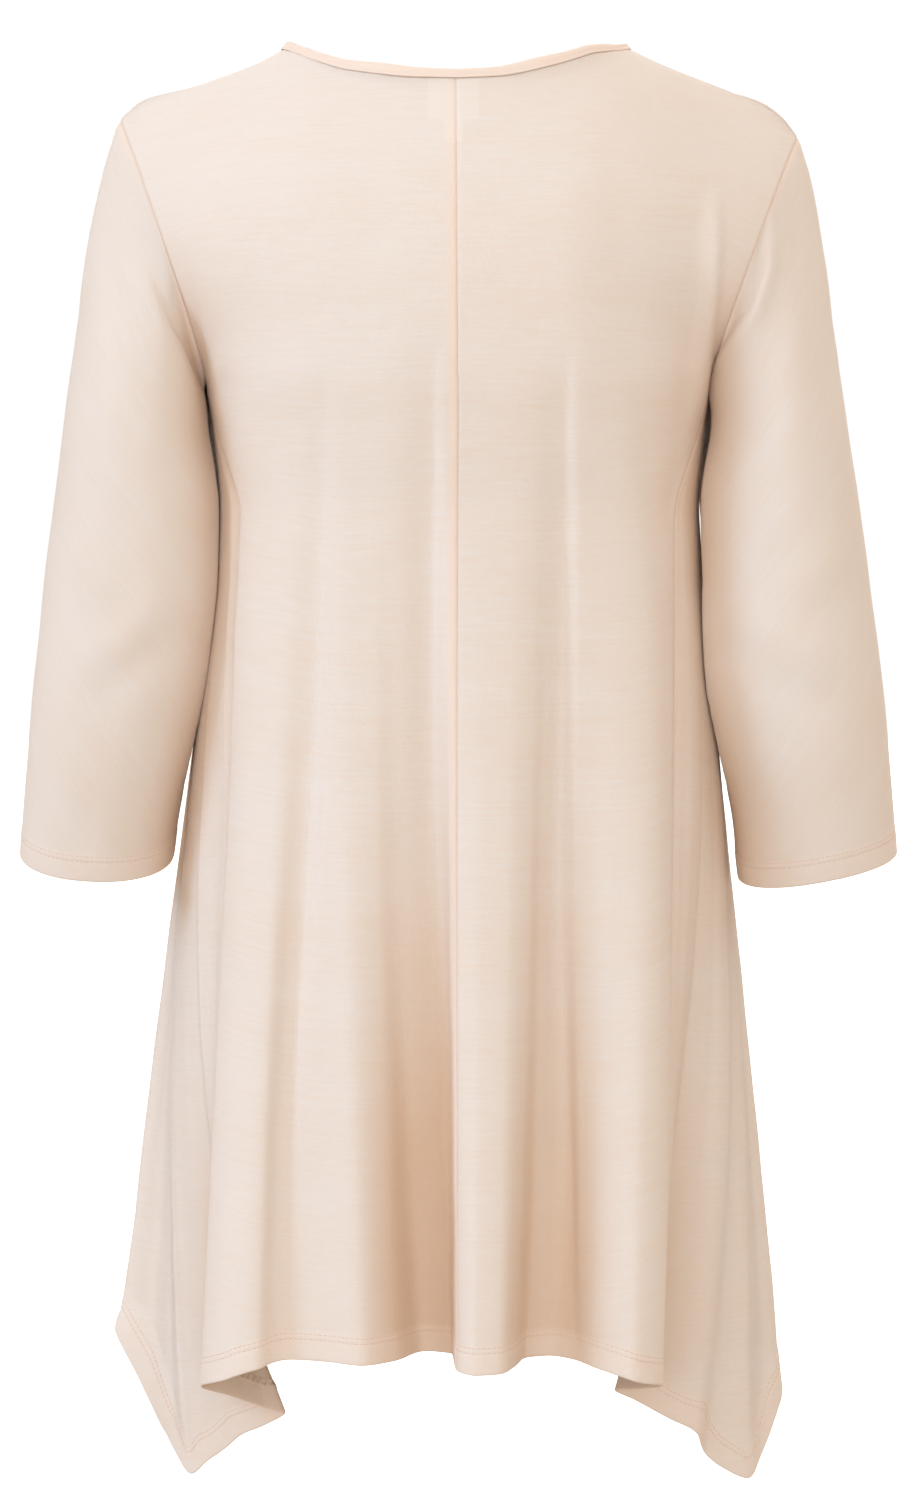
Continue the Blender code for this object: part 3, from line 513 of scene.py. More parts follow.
# Name, azimuth, elevation, strength, softness in degrees and colour.
LAMPS = (
    ("side_light", -71.0, 20.0, 1.00, 16.0, (0.46, 0.70, 0.98)),
    ("front_light", -5.0, 10.0, 1.14, 60.0, (0.78, 0.97, 1.13)),
    ("far_light", 165.0, 30.0, 1.15, 60.0, (0.84, 1.0, 1.16)),
)

# Panels: first and last fall line, columns for each fall line, and whether a yoke of the back or of
# the front rises from it.
PANEL_CUTS = {
    "back_left": ("back seam left", "centre back", 12, True),
    "back_right": ("centre back", "back seam right", 12, True),
    "front": ("front seam right", "front seam left", 15, False),
    "side_panel_left": ("front seam left", "back seam left", 10, None),
    "side_panel_right": ("back seam right", "front seam right", 10, None),
}
PANELS = tuple(PANEL_CUTS)
SLEEVES = ("sleeve_left", "sleeve_right")


# Curves and surfaces


def ease(share):
    """Soft step from 0 to 1."""
    share = np.clip(share, 0.0, 1.0)
    return share * share * (3.0 - 2.0 * share)


def hump(distance, width):
    """Soft hump, 1 at no distance and nearly gone at twice the width."""
    return np.exp(-((distance / width) ** 2))


def wavy(along, waves):
    """Sine whose waves crowd together here and there."""
    often, crowding, swing = waves
    return np.sin(along * often + swing * np.sin(along * crowding))


def unit(vectors):
    """Vectors of length 1 in the same directions."""
    return vectors / np.maximum(np.linalg.norm(vectors, axis=-1, keepdims=True), 1e-12)


def run_along(points):
    """Distance along a line at each of its points."""
    return np.concatenate([[0.0], np.cumsum(np.linalg.norm(np.diff(points, axis=0), axis=1))])


def rounded_cross(angle, roundness):
    """Cosine and sine of an angle on an outline between a circle and a square."""
    power = 2.0 / roundness
    return [np.sign(part) * np.abs(part) ** power for part in (np.cos(angle), np.sin(angle))]


def slopes(knots, values):
    """Slope at each knot, level where the values turn back, so that a curve never overshoots."""
    rise = np.diff(values, axis=0) / np.diff(knots)[:, None]
    before = rise[:-1]
    after = rise[1:]
    same_way = before * after > 0
    inner = np.where(same_way, 2 * before * after / np.where(same_way, before + after, 1.0), 0.0)
    return np.vstack([rise[:1], inner, rise[-1:]])


def smooth_curve(knots, values, at):
    """Smooth curve through the values, one row for each place in at."""
    knots = np.asarray(knots, float)
    values = np.asarray(values, float)
    at = np.clip(np.asarray(at, float), knots[0], knots[-1])
    steep = slopes(knots, values)
    first = np.clip(np.searchsorted(knots, at, side="right") - 1, 0, len(knots) - 2)
    width = knots[first + 1] - knots[first]
    t = ((at - knots[first]) / width)[:, None]
    width = width[:, None]
    return (
        values[first] * (1 + 2 * t) * (1 - t) ** 2
        + steep[first] * width * t * (1 - t) ** 2
        + values[first + 1] * t * t * (3 - 2 * t)
        + steep[first + 1] * width * t * t * (t - 1)
    )


def from_table(table, at):
    """Columns of a table read at heights, highest row first in the table."""
    rows = np.array(table, float)[::-1]
    return smooth_curve(rows[:, 0], rows[:, 1:], at).T


def fold_index(name):
    """Place of a named fall line in FOLDS."""
    return [row[0] for row in FOLDS].index(name)


def fold_span(first, last):
    """Places of two fall lines, the last one counted on past the end of FOLDS if it has to be."""
    start, end = fold_index(first), fold_index(last)
    return start, end if end > start else end + len(FOLDS)


def fold_columns(places):
    """Underarm turn, waist turn, hem point and lateness at places counted along FOLDS."""
    rows = np.array([row[1:] for row in FOLDS], float)
    full_turn = np.array([360.0, 360.0, 0, 0, 0, 0])
    ring = np.vstack([rows[-3:] - full_turn, rows, rows[:3] + full_turn])
    length = run_along(ring[:, 2:5])
    count = np.arange(-3, len(FOLDS) + 3)
    along = np.interp(places, count, length)
    return smooth_curve(length, ring, along).T


def rounded(turn, half_width, back_depth, front_depth):
    """Point of a rounded section at an angle from the left side by way of the back."""
    across, deep = rounded_cross(np.radians(turn), ROUNDNESS)
    depth = np.where(deep > 0, back_depth, front_depth)
    return -half_width * across, -depth * deep


def body_point(places, share):
    """Face of the body below the underarm, share 0 at the underarm and 1 at the hem."""
    top_turn, waist_turn, hem_x, hem_y, hem_z, late = fold_columns(places)
    z = UNDERARM_Z + share * (hem_z - UNDERARM_Z)
    half_width, back_depth, front_depth = from_table(SECTIONS, z)
    turn = top_turn + (waist_turn - top_turn) * ease((UNDERARM_Z - z) / (UNDERARM_Z - WAIST_Z))
    x, y = rounded(turn, half_width, back_depth, front_depth)
    wide_x, wide_y = rounded(waist_turn, HEM_HALF_WIDTH, HEM_DEPTH, HEM_DEPTH)
    wide_x = wide_x + HEM_SHIFT
    open_share = np.clip((FLARE_START_Z - z) / (FLARE_START_Z - hem_z), 0.0, 1.0) ** FLARE_POWER
    fold_share = open_share ** late
    x = x + (wide_x - x) * open_share + (hem_x - wide_x) * fold_share
    y = y + (wide_y - y) * open_share + (hem_y - wide_y) * fold_share
    return np.stack([x, y, z], axis=-1)


def shoulder_point(share, line):
    """Point of the shoulder line, share 0 at the neck and 1 at the sleeve."""
    rows = np.array(line)
    x = rows[0, 0] + share * (rows[-1, 0] - rows[0, 0])
    order = np.argsort(rows[:, 0])
    z = smooth_curve(rows[order, 0], rows[order, 1:], x)[:, 0]
    return np.stack([x, np.zeros_like(x), z], axis=-1)


def neck_point(share, edge):
    """Point of the neck edge, share -1 at the left shoulder, 0 at the centre and 1 at the right."""
    spread = np.sin(share * math.pi / 2)
    reach = np.where(spread < 0, NECK_CENTRE_X - SHOULDER_LEFT[0][0], SHOULDER_RIGHT[0][0] - NECK_CENTRE_X)
    y, z = smooth_curve([row[0] for row in edge], [row[1:] for row in edge], np.abs(spread)).T
    if edge is NECK_BACK:
        wide = np.where(spread < NECK_RISE_AT, *NECK_RISE_REACH)
        z = z + NECK_RISE * hump(spread - NECK_RISE_AT, wide) * ease((1.0 - spread) / NECK_RISE_END)
    return np.stack([NECK_CENTRE_X + reach * spread, y, z], axis=-1)


def upper_limits(places, back):
    """Top edge point of each fall line, and how closely it rolls over the top."""
    turn = fold_columns(places)[0]
    names = ("neck point left", "neck point right") if back else ("front neck right", "front neck left")
    first, last = (FOLDS[fold_index(name)][1] for name in names)
    middle = (first + last) / 2 if not back else 90.0
    start = ARMHOLE_TURN if back else 180.0 + ARMHOLE_TURN
    end = 180.0 - ARMHOLE_TURN if back else 360.0 - ARMHOLE_TURN
    side = np.where(turn < middle, (turn - middle) / (middle - first), (turn - middle) / (last - middle))
    across = np.clip(side if back else -side, -1.0, 1.0)
    top = neck_point(across, NECK_BACK if back else NECK_FRONT)
    before = turn < first
    after = turn > last
    before_line, after_line = (SHOULDER_LEFT, SHOULDER_RIGHT) if back else (SHOULDER_RIGHT, SHOULDER_LEFT)
    top[before] = shoulder_point(((first - turn) / (first - start))[before], before_line)
    top[after] = shoulder_point(((turn - last) / (end - last))[after], after_line)
    roll = 1.0 + SHOULDER_ROLL * np.abs(across) ** 3
    edge = np.clip(np.minimum(turn - start, end - turn) / ARMHOLE_FADE_TURN, 0.0, 1.0)
    return top, roll, 1.0 - ease(edge)


def yoke_point(places, share, back):
    """Face above the underarm, share 0 at the underarm and 1 at the shoulder or neck."""
    ring = body_point(places, np.zeros_like(places))
    top, roll, near_edge = upper_limits(places, back)
    side = -1.0 if back else 1.0
    x = ring[:, 0] + (top[:, 0] - ring[:, 0]) * share ** YOKE_WIDENING
    z = ring[:, 2] + (top[:, 2] - ring[:, 2]) * share
    lean = 1.0 - YOKE_LEAN * share ** 2
    bulge = side * ARMHOLE_BULGE * near_edge * np.sin(math.pi * share ** ARMHOLE_BULGE_POWER)
    flat = ring[:, 1] * lean + bulge
    over = 1.0 - (1.0 - share ** YOKE_ROLL_POWER) ** (1.0 / roll)
    y = flat + (top[:, 1] - flat) * over
    return np.stack([x, y, z], axis=-1)


def body_normals(places, share):
    """Outward direction of the body below the underarm."""
    across = body_point(places + SMALL_TURN, share) - body_point(places - SMALL_TURN, share)
    above = np.maximum(share - SMALL_FALL, 0.0)
    below = np.minimum(share + SMALL_FALL, 1.0)
    return unit(np.cross(body_point(places, below) - body_point(places, above), across))


def crease_height(points, creases):
    """Height of hand-laid soft ridges and troughs at points of one piece, in metres."""
    total = np.zeros(len(points))
    plane = points[:, (0, 2)] * 1000.0
    for side, height, width, path in creases:
        path = np.array(path, float)
        start, run = path[:-1], np.diff(path, axis=0)
        length = np.linalg.norm(run, axis=1)
        before = run_along(path)
        best = np.full(len(points), 1e9)
        along = np.zeros(len(points))
        beside = np.zeros(len(points))
        for origin, step, size, passed in zip(start, run, length, before):
            t = np.clip((plane - origin) @ step / size ** 2, 0.0, 1.0)
            off = plane - origin - t[:, None] * step
            far = np.linalg.norm(off, axis=1)
            near = far < best
            best = np.where(near, far, best)
            along = np.where(near, passed + t * size, along)
            beside = np.where(near, step[0] * off[:, 1] - step[1] * off[:, 0], beside)
        share = along / length.sum()
        taper = (4.0 * share * (1.0 - share)) ** CREASE_TAPER
        facing = 1.0 if side == BOTH else ease(points[:, 1] * side / CREASE_TURNOVER + 0.5)
        minus, plus = width if isinstance(width, tuple) else (width, width)
        total += height / 1000.0 * taper * facing * hump(best, np.where(beside > 0, plus, minus))
    return total


def unevenness(points):
    """Slow waves that keep the cloth from lying as smooth as paper."""
    total = np.zeros(len(points))
    for share, *pair in UNEVEN_WAVES:
        first, second = (np.sin(points @ np.array(way, float) + start) for *way, start in pair)
        total += share * first * second
    return UNEVEN_HEIGHT * total


# Cut pieces and their meshes


class Cloth:
    """Outer and inner face of a cut piece, rows down and columns across, with what varies on it."""

    def __init__(self, outer, inner, out, flat, seam, band, allowance, around=False):
        self.outer = outer
        self.inner = inner
        self.out = out
        self.flat = flat
        self.seam = seam
        self.band = band
        self.allowance = allowance
        self.around = around


def flatten(grid, level):
    """Places of a grid laid flat: distance across from its middle column, and down from a level row."""
    step = np.linalg.norm(np.diff(grid, axis=1), axis=2)
    across = np.concatenate([np.zeros((len(grid), 1)), np.cumsum(step, axis=1)], axis=1)
    across -= across[:, across.shape[1] // 2][:, None]
    fall = np.linalg.norm(np.diff(grid, axis=0), axis=2)
    down = np.concatenate([np.zeros((1, grid.shape[1])), np.cumsum(fall, axis=0)])
    down -= down[level]
    return np.stack([across, down], axis=-1)


def cluster(first, last, steps):
    """Places between two fall lines, closer together next to the seams at both ends."""
    start, end = fold_span(first, last)
    near = np.array(SEAM_COLUMNS)
    count = int((end - start - 2 * SEAM_CLEAR) * steps) + 1
    middle = np.linspace(start + SEAM_CLEAR, end - SEAM_CLEAR, count)
    return np.concatenate([[start], start + near, middle, end - near[::-1], [end]])


def hem_shares(places):
    """Share of each fall line for every row below the underarm, and its distance to the hem edge."""
    ones = np.ones_like(places)
    fall = (body_point(places, ones) - body_point(places, ones - HEM_FALL)) / HEM_FALL
    along = unit(body_point(places + HEM_TURN, ones) - body_point(places - HEM_TURN, ones))
    square = np.linalg.norm(np.cross(fall, along), axis=1)
    square = np.maximum(square, 0.5 * np.linalg.norm(fall, axis=1))
    kernel = np.array([1, 2, 3, 4, 3, 2, 1], float)
    padded = np.concatenate([np.full(3, square[0]), square, np.full(3, square[-1])])
    square = np.convolve(padded, kernel / kernel.sum(), "valid")
    hem_rows = [1.0 - drop / square for drop in HEM_STEPS]
    free_rows = [hem_rows[0] * t for t in np.linspace(0.0, 1.0, BODY_ROWS + 1)[:-1]]
    shares = np.array(free_rows + hem_rows)
    return shares, (1.0 - shares) * square


def edge_distance(grid, sides):
    """Distance of each point to the nearest of the named edges of its grid."""
    edges = {"left": grid[:, :1], "right": grid[:, -1:], "top": grid[:1]}
    far = np.full(grid.shape[:2], 1.0)
    for side in sides:
        far = np.minimum(far, np.linalg.norm(grid - edges[side], axis=2))
    return far


def dress(grid, out, seam_far, drop, creases, under_far, around=False, level=0):
    """Give a bare surface its seams, hem band, creases and thickness."""
    shape = grid.shape[:2]
    points = grid.reshape(-1, 3)
    rise = (crease_height(points, creases) + unevenness(points)).reshape(shape)
    rise *= ease(seam_far / SEAM_REST)
    seam = hump(seam_far, SEAM_WIDTH)
    band = ease((HEM_BAND + BAND_STEP / 2 - drop) / BAND_STEP)
    flat = flatten(grid, level)
    pucker = WAVE_HEIGHT * wavy(flat[..., 0], HEM_PUCKER)
    rise += band * (HEM_LIFT + pucker * hump(drop - PUCKER_AT, PUCKER_REACH))
    for row in (UPPER_ROW, LOWER_ROW):
        rise -= STITCH_SINK * hump(drop - row, STITCH_WIDTH)
    rise -= seam * SEAM_SINK
    rise += WAVE_HEIGHT * wavy(flat[..., 1], SEAM_RIPPLE) * hump(seam_far, RIPPLE_REACH) * (1.0 - seam)
    thick = CLOTH_THICKNESS + HEM_EXTRA * band
    fold = np.sqrt(np.clip(1.0 - (1.0 - np.clip(drop / EDGE_ROUND, 0.0, 1.0)) ** 2, 0.0, 1.0))
    fold = EDGE_SHARE + (1.0 - EDGE_SHARE) * fold
    outer = grid + out * (rise - thick * (1.0 - fold) / 2)[..., None]
    inner = outer - out * (thick * fold)[..., None]
    allowance = ease((ALLOWANCE - under_far) / ALLOWANCE_STEP + 0.5)
    return Cloth(outer, inner, out, flat, seam, band, allowance, around)


def on_grid(function, places, shares, *rest):
    """Read a surface function at every share of every place."""
    wide = np.broadcast_to(places, shares.shape)
    return function(wide.ravel(), shares.ravel(), *rest).reshape(shares.shape + (3,))


def yoke_ease(places, levels, back):
    """How far the cloth above the underarm moves when the lines below the neck points are eased out."""
    first, last = ("back seam left", "back seam right") if back else ("front seam right", "front seam left")
    even = np.linspace(*fold_span(first, last), EASE_COLUMNS)
    bare = on_grid(yoke_point, even, np.repeat(levels[:, None], EASE_COLUMNS, axis=1), back)
    below_top = np.linalg.norm(bare - bare[:1], axis=2)
    hold = EASE_HOLD * ease(below_top / EASE_BELOW_TOP) * ease(levels[:, None] / EASE_ABOVE_UNDERARM)
    moved = bare.copy()
    for _ in range(EASE_ROUNDS):
        middle = (moved[:, :-2] + moved[:, 2:]) / 2
        moved[:, 1:-1] += (middle - moved[:, 1:-1]) * hold[:, 1:-1, None]
    shift = [[np.interp(places, even, column) for column in row.T] for row in moved - bare]
    return np.array(shift).transpose(0, 2, 1)


def grid_normals(grid):
    """Direction out of a grid of points at each of them."""
    return unit(np.cross(np.gradient(grid, axis=0), np.gradient(grid, axis=1)))


def panel(first, last, steps, back):
    """Panel between two fall lines, with the yoke above it if it has one."""
    places = cluster(first, last, steps)
    shares, drop = hem_shares(places)
    grid = on_grid(body_point, places, shares)
    out = on_grid(body_normals, places, shares)
    if back is None:
        far = edge_distance(grid, ("left", "right", "top"))
        return dress(grid, out, far, drop, BODY_CREASES, edge_distance(grid, ()))
    step = np.linspace(0.0, 1.0, YOKE_ROWS + 1)[::-1]
    levels = (1.0 - (1.0 - step) ** YOKE_SPACING)[:-1]
    upper = np.repeat(levels[:, None], len(places), axis=1)
    upper_grid = on_grid(yoke_point, places, upper, back) + yoke_ease(places, levels, back)
    upper_out = grid_normals(np.concatenate([upper_grid, grid[:2]]))[:-2]
    grid = np.concatenate([upper_grid, grid])
    out = np.concatenate([upper_out, out])
    drop = np.concatenate([np.full(upper.shape, 1.0), drop])
    far = edge_distance(grid, ("left", "right", "top"))
    under = edge_distance(grid, ("right",) if last == "centre back" else ())
    return dress(grid, out, far, drop, BODY_CREASES, under, level=YOKE_ROWS)


@functools.lru_cache(maxsize=None)
def cloth(name):
    """Surface of a cut piece by its name."""
    if name in PANEL_CUTS:
        return panel(*PANEL_CUTS[name])
    return sleeve(-1 if name == "sleeve_left" else 1)


def resample(points, values, count):
    """Evenly spaced points along a line, with other values carried along."""
    length = run_along(points)
    at = np.linspace(0.0, length[-1], count)
    return [
        np.stack([np.interp(at, length, column) for column in part.T], axis=-1)
        for part in (points, values)
    ]


def armhole(side):
    """Armhole line from the underarm by way of the back to the shoulder and down the front."""
    back = cloth("back_left" if side < 0 else "back_right")
    front = cloth("front")
    under = cloth("side_panel_left" if side < 0 else "side_panel_right")
    order = slice(None) if side < 0 else slice(None, None, -1)
    halves = []
    for value in ("outer", "out"):
        top = getattr(under, value)[0][order]
        middle = len(top) // 2
        back_edge = getattr(back, value)[YOKE_ROWS::-1, 0 if side < 0 else -1]
        front_edge = getattr(front, value)[YOKE_ROWS::-1, -1 if side < 0 else 0]
        halves.append((np.vstack([top[middle:-1], back_edge]), np.vstack([top[middle:0:-1], front_edge])))
    half = SLEEVE_COLUMNS // 2 + 1
    back_line, back_out = resample(halves[0][0], halves[1][0], half)
    front_line, front_out = resample(halves[0][1], halves[1][1], half)
    return np.vstack([back_line, front_line[-2:0:-1]]), unit(np.vstack([back_out, front_out[-2:0:-1]]))


def body_side(y, z):
    """Distance of the body's side from the middle at a depth and height, and its shift."""
    half_width, back_depth, front_depth = from_table(SECTIONS, z)
    open_share = np.clip((FLARE_START_Z - z) / (FLARE_START_Z - MEAN_HEM_Z), 0.0, 1.0) ** FLARE_POWER
    half_width = half_width + (HEM_HALF_WIDTH - half_width) * open_share
    depth = np.where(y < 0, back_depth, front_depth)
    depth = depth + (HEM_DEPTH - depth) * open_share
    near = np.clip(1.0 - np.abs(y / depth) ** ROUNDNESS, 0.0, 1.0)
    return half_width * near ** (1.0 / ROUNDNESS), HEM_SHIFT * open_share


def sleeve_ring(angle, z, table, side):
    """Point of the free sleeve tube at an angle from its inner side by way of the back."""
    outer, inner, middle_y, half_depth = from_table(table, z)
    middle = (outer + inner) / 2
    half_width = np.abs(outer - inner) / 2
    across, deep = rounded_cross(angle, SLEEVE_ROUNDNESS)
    return middle - side * half_width * across, middle_y - half_depth * deep


def sleeve_rows(start, angle, table, cuff, side, shares):
    """Sleeve surface for rows of shares, 0 at the armhole and 1 at the cuff."""
    cuff_z, rise_front, rise_outer = cuff
    end_x, end_y = sleeve_ring(angle, np.full(len(angle), cuff_z), table, side)
    outer, inner, middle_y, half_depth = from_table(table, np.array([cuff_z]))
    end_z = cuff_z + rise_front * (end_y - middle_y) + rise_outer * side * (end_x - (outer + inner) / 2)
    tube_x, tube_y = sleeve_ring(angle, start[:, 2], table, side)
    away_x = start[:, 0] - tube_x
    away_y = start[:, 1] - tube_y
    rows = []
    for share in shares:
        z = start[:, 2] + (end_z - start[:, 2]) * share
        x, y = sleeve_ring(angle, z, table, side)
        hold = 1.0 - ease(share / SLEEVE_FADE)
        x = x + away_x * hold
        y = y + away_y * hold
        reach, shift = body_side(y, z)
        gap = SLEEVE_SEAM_GAP + SLEEVE_CLEARANCE * ease((start[:, 2] - z) / SLEEVE_CLEARANCE_DROP)
        limit = side * (reach + gap) + shift
        x = np.where(side * x < side * limit, limit, x)
        rows.append(np.stack([x, y, z], axis=-1))
    return np.array(rows)


def relax(grid, rounds, hold):
    """Take short bends out of a closed tube of cloth and keep its width and its first row."""
    for share in RELAX_PULLS * rounds:
        around = (np.roll(grid, 1, axis=1) + np.roll(grid, -1, axis=1)) / 2
        along = grid.copy()
        along[1:-1] = (grid[:-2] + grid[2:]) / 2
        grid = grid + ((around + along) / 2 - grid) * hold * share
    return grid


def sleeve(side):
    """Sleeve that grows out of its armhole and hangs down to the cuff."""
    loop, body_out = armhole(side)
    if side < 0:
        table, cuff, creases = SLEEVE_LEFT, CUFF_LEFT, LEFT_SLEEVE_CREASES
    else:
        table, cuff, creases = SLEEVE_RIGHT, CUFF_RIGHT, RIGHT_SLEEVE_CREASES
    angle = np.arange(SLEEVE_COLUMNS) / SLEEVE_COLUMNS * 2 * math.pi
    last = sleeve_rows(loop, angle, table, cuff, side, (1.0 - SLEEVE_FALL, 1.0))
    length = np.linalg.norm(last[1] - last[0], axis=1) / SLEEVE_FALL
    hem = [1.0 - drop / length for drop in HEM_STEPS]
    step = (np.arange(SLEEVE_ROWS) + 1.0) / (SLEEVE_ROWS + 1.0)
    near = ARMHOLE_SHARES[-1]
    free = [near + (hem[0] - near) * share for share in step]
    shares = np.array([np.full(SLEEVE_COLUMNS, share) for share in ARMHOLE_SHARES] + free + hem)
    grid = sleeve_rows(loop, angle, table, cuff, side, shares)
    level = shares.mean(axis=1)
    fade_from, fade_over = RELAX_FADE
    hold = RELAX_HOLD * ease(level / RELAX_BELOW_ARMHOLE) * (1.0 - ease((level - fade_from) / fade_over))
    hold[0] = 0.0
    grid = relax(grid, RELAX_ROUNDS, hold[:, None, None])
    down = np.gradient(grid, axis=0)
    across = np.roll(grid, -1, axis=1) - np.roll(grid, 1, axis=1)
    out = unit(np.cross(down, across)) * side
    far = np.linalg.norm(grid - grid[:1], axis=2)
    mix = (1.0 - ease(far / SEAM_REST))[..., None] * 0.5
    out = unit(out * (1.0 - mix) + body_out[None] * mix)
    drop = np.clip(1.0 - shares, 0.0, 1.0) * length[None]
    made = dress(grid, out, far, drop, creases, far + SLEEVE_ALLOWANCE_LESS, around=True)
    made.outer[0] = loop
    made.inner[0] = loop - out[0] * CLOTH_THICKNESS
    return made


def spaced(size, step):
    """Every so many of the rows or columns, with the first and the last."""
    return np.unique(np.linspace(0, size - 1, size // step).astype(int))


@functools.lru_cache(maxsize=None)
def garment_tree(around):
    """Faces of the body, or of the sleeves, on a coarse grid, for looking along rays."""
    points, faces, start = [], [], 0
    for name in SLEEVES if around else PANELS:
        made = cloth(name)
        rows, columns = (spaced(size, TREE_STEP) for size in made.outer.shape[:2])
        if made.around:
            columns = np.arange(0, made.outer.shape[1], TREE_STEP)
        coarse = made.outer[np.ix_(rows, columns)]
        points += coarse.reshape(-1, 3).tolist()
        faces += grid_faces(len(rows), len(columns), made.around, True, start).tolist()
        start = len(points)
    return BVHTree.FromPolygons(points, faces)


def ray_spread():
    """Evenly spread directions over a sphere."""
    k = np.arange(HOLLOW_RAYS) + 0.5
    z = 1.0 - 2.0 * k / HOLLOW_RAYS
    turn = k * math.pi * (3.0 - math.sqrt(5.0))
    level = np.sqrt(1.0 - z * z)
    return np.stack([level * np.cos(turn), level * np.sin(turn), z], axis=-1)


def hollows(made):
    """Share of the open space before each place that other cloth closes off, read on a coarse grid; it sets
    the shade painted into the cloth's colour.
    """
    trees = ((garment_tree(made.around), 1.0), (garment_tree(not made.around), OTHER_PIECES))
    rows, columns = made.outer.shape[:2]
    r = spaced(rows, HOLLOW_ROW_STEP)
    c = spaced(columns, HOLLOW_COLUMN_STEP)
    closed = np.zeros((len(r), len(c)))
    rays = ray_spread()
    for i, row in enumerate(r):
        for j, column in enumerate(c):
            out = made.out[row, column]
            start = Vector(made.outer[row, column] + out * HOLLOW_LIFT)
            for way in unit(out + rays * HOLLOW_SPREAD):
                for tree, weight in trees:
                    hit = tree.ray_cast(start, Vector(way), HOLLOW_REACH)
                    if hit[0] is not None:
                        closed[i, j] += weight * (1.0 - hit[3] / HOLLOW_REACH)
    closed /= len(rays)
    for _ in range(HOLLOW_ROUNDS):
        for axis in (0, 1):
            ends = [(1, 1) if k == axis else (0, 0) for k in (0, 1)]
            padded = np.pad(closed, ends, "edge")
            size = closed.shape[axis]
            low, high = (np.take(padded, range(k, k + size), axis) for k in (0, 2))
            closed = closed / 2 + (low + high) / 4
    wide = np.array([np.interp(np.arange(columns), c, row) for row in closed])
    return np.array([np.interp(np.arange(rows), r, column) for column in wide.T]).T


def grid_faces(rows, columns, around, flip, start):
    """Four-sided faces between the rows and columns of a grid of points."""
    a = np.arange(rows - 1)[:, None] * columns + np.arange(columns if around else columns - 1)[None]
    b = np.arange(rows - 1)[:, None] * columns + (np.arange(a.shape[1])[None] + 1) % columns
    quads = np.stack([a, b, b + columns, a + columns], axis=-1).reshape(-1, 4) + start
    return quads[:, ::-1] if flip else quads


def rim_faces(rows, columns, around, offset):
    """Faces that close a shell along its open edges."""
    if around:
        rings = [np.arange(columns), (rows - 1) * columns + np.arange(columns)[::-1]]
    else:
        ring = [np.arange(columns), np.arange(1, rows) * columns + columns - 1]
        ring += [(rows - 1) * columns + np.arange(columns - 2, -1, -1), np.arange(rows - 2, 0, -1) * columns]
        rings = [np.concatenate(ring)]
    return np.vstack([
        np.stack([np.roll(ring, -1), ring, ring + offset, np.roll(ring, -1) + offset], axis=-1)
        for ring in rings
    ])


def shell_faces(rows, columns, around):
    """Faces of a closed shell whose inner points follow its outer ones."""
    count = rows * columns
    return np.vstack([
        grid_faces(rows, columns, around, True, 0),
        grid_faces(rows, columns, around, False, count),
        rim_faces(rows, columns, around, count),
    ])


def add_mesh(name, points, faces, material, values=None, flat=None):
    """Object with values at its points and, as its UV map, their places on the cloth laid flat."""
    mesh = bpy.data.meshes.new(name)
    mesh.from_pydata(points.tolist(), [], faces.tolist())
    for title, numbers in (values or {}).items():
        attribute = mesh.attributes.new(title, "FLOAT", "POINT")
        attribute.data.foreach_set("value", np.ascontiguousarray(numbers, np.float32))
    if flat is not None:
        layer = mesh.uv_layers.new(name="Flat")
        corners = np.zeros(len(mesh.loops), np.int32)
        mesh.loops.foreach_get("vertex_index", corners)
        layer.data.foreach_set("uv", np.ascontiguousarray(flat[corners], np.float32).ravel())
    builder = bmesh.new()
    builder.from_mesh(mesh)
    bmesh.ops.recalc_face_normals(builder, faces=builder.faces[:])
    builder.to_mesh(mesh)
    builder.free()
    mesh.shade_smooth()
    mesh.materials.append(material)
    piece = bpy.data.objects.new(name, mesh)
    bpy.context.scene.collection.objects.link(piece)
    return piece


def settle(piece, node):
    """Put a finished piece on the garment in place of its plain solid."""
    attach(piece, "root")
    if node:
        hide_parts(node)
    return piece


def add_cloth(name, material):
    """Closed thin shell of a cut piece."""
    made = cloth(name)
    faces = shell_faces(*made.outer.shape[:2], made.around)
    points = np.vstack([made.outer.reshape(-1, 3), made.inner.reshape(-1, 3)])
    values = {key: np.tile(getattr(made, key).ravel(), 2) for key in ("seam", "band", "allowance")}
    # Painted shade: how closed in each outer place is, and a fixed painted shade on the inner face.
    painted_hollow_shade = hollows(made).ravel()
    values["painted_hollow_shade"] = np.concatenate([painted_hollow_shade, np.full(len(painted_hollow_shade), INSIDE_PAINTED_SHADE)])
    flat = np.tile(made.flat.reshape(-1, 2), (2, 1))
    return settle(add_mesh(name + "_cloth", points, faces, material, values, flat), name)


# Node trees and materials


class Wire:
    """A socket that takes part in plain arithmetic."""

    def __init__(self, graph, socket):
        self.graph = graph
        self.socket = socket

    def __add__(self, other):
        return self.graph.math("ADD", self, other)

    __radd__ = __add__

    def __mul__(self, other):
        return self.graph.math("MULTIPLY", self, other)

    __rmul__ = __mul__

    def __sub__(self, other):
        return self.graph.math("SUBTRACT", self, other)

    def __rsub__(self, other):
        return self.graph.math("SUBTRACT", other, self)

    def __truediv__(self, other):
        return self.graph.math("DIVIDE", self, other)

    def __abs__(self):
        return self.graph.math("ABSOLUTE", self)

    def sine(self):
        """Sine of an angle in radians."""
        return self.graph.math("SINE", self)

    def clamped(self):
        """Held between 0 and 1."""
        return self.graph.math("ADD", self, 0.0, use_clamp=True)


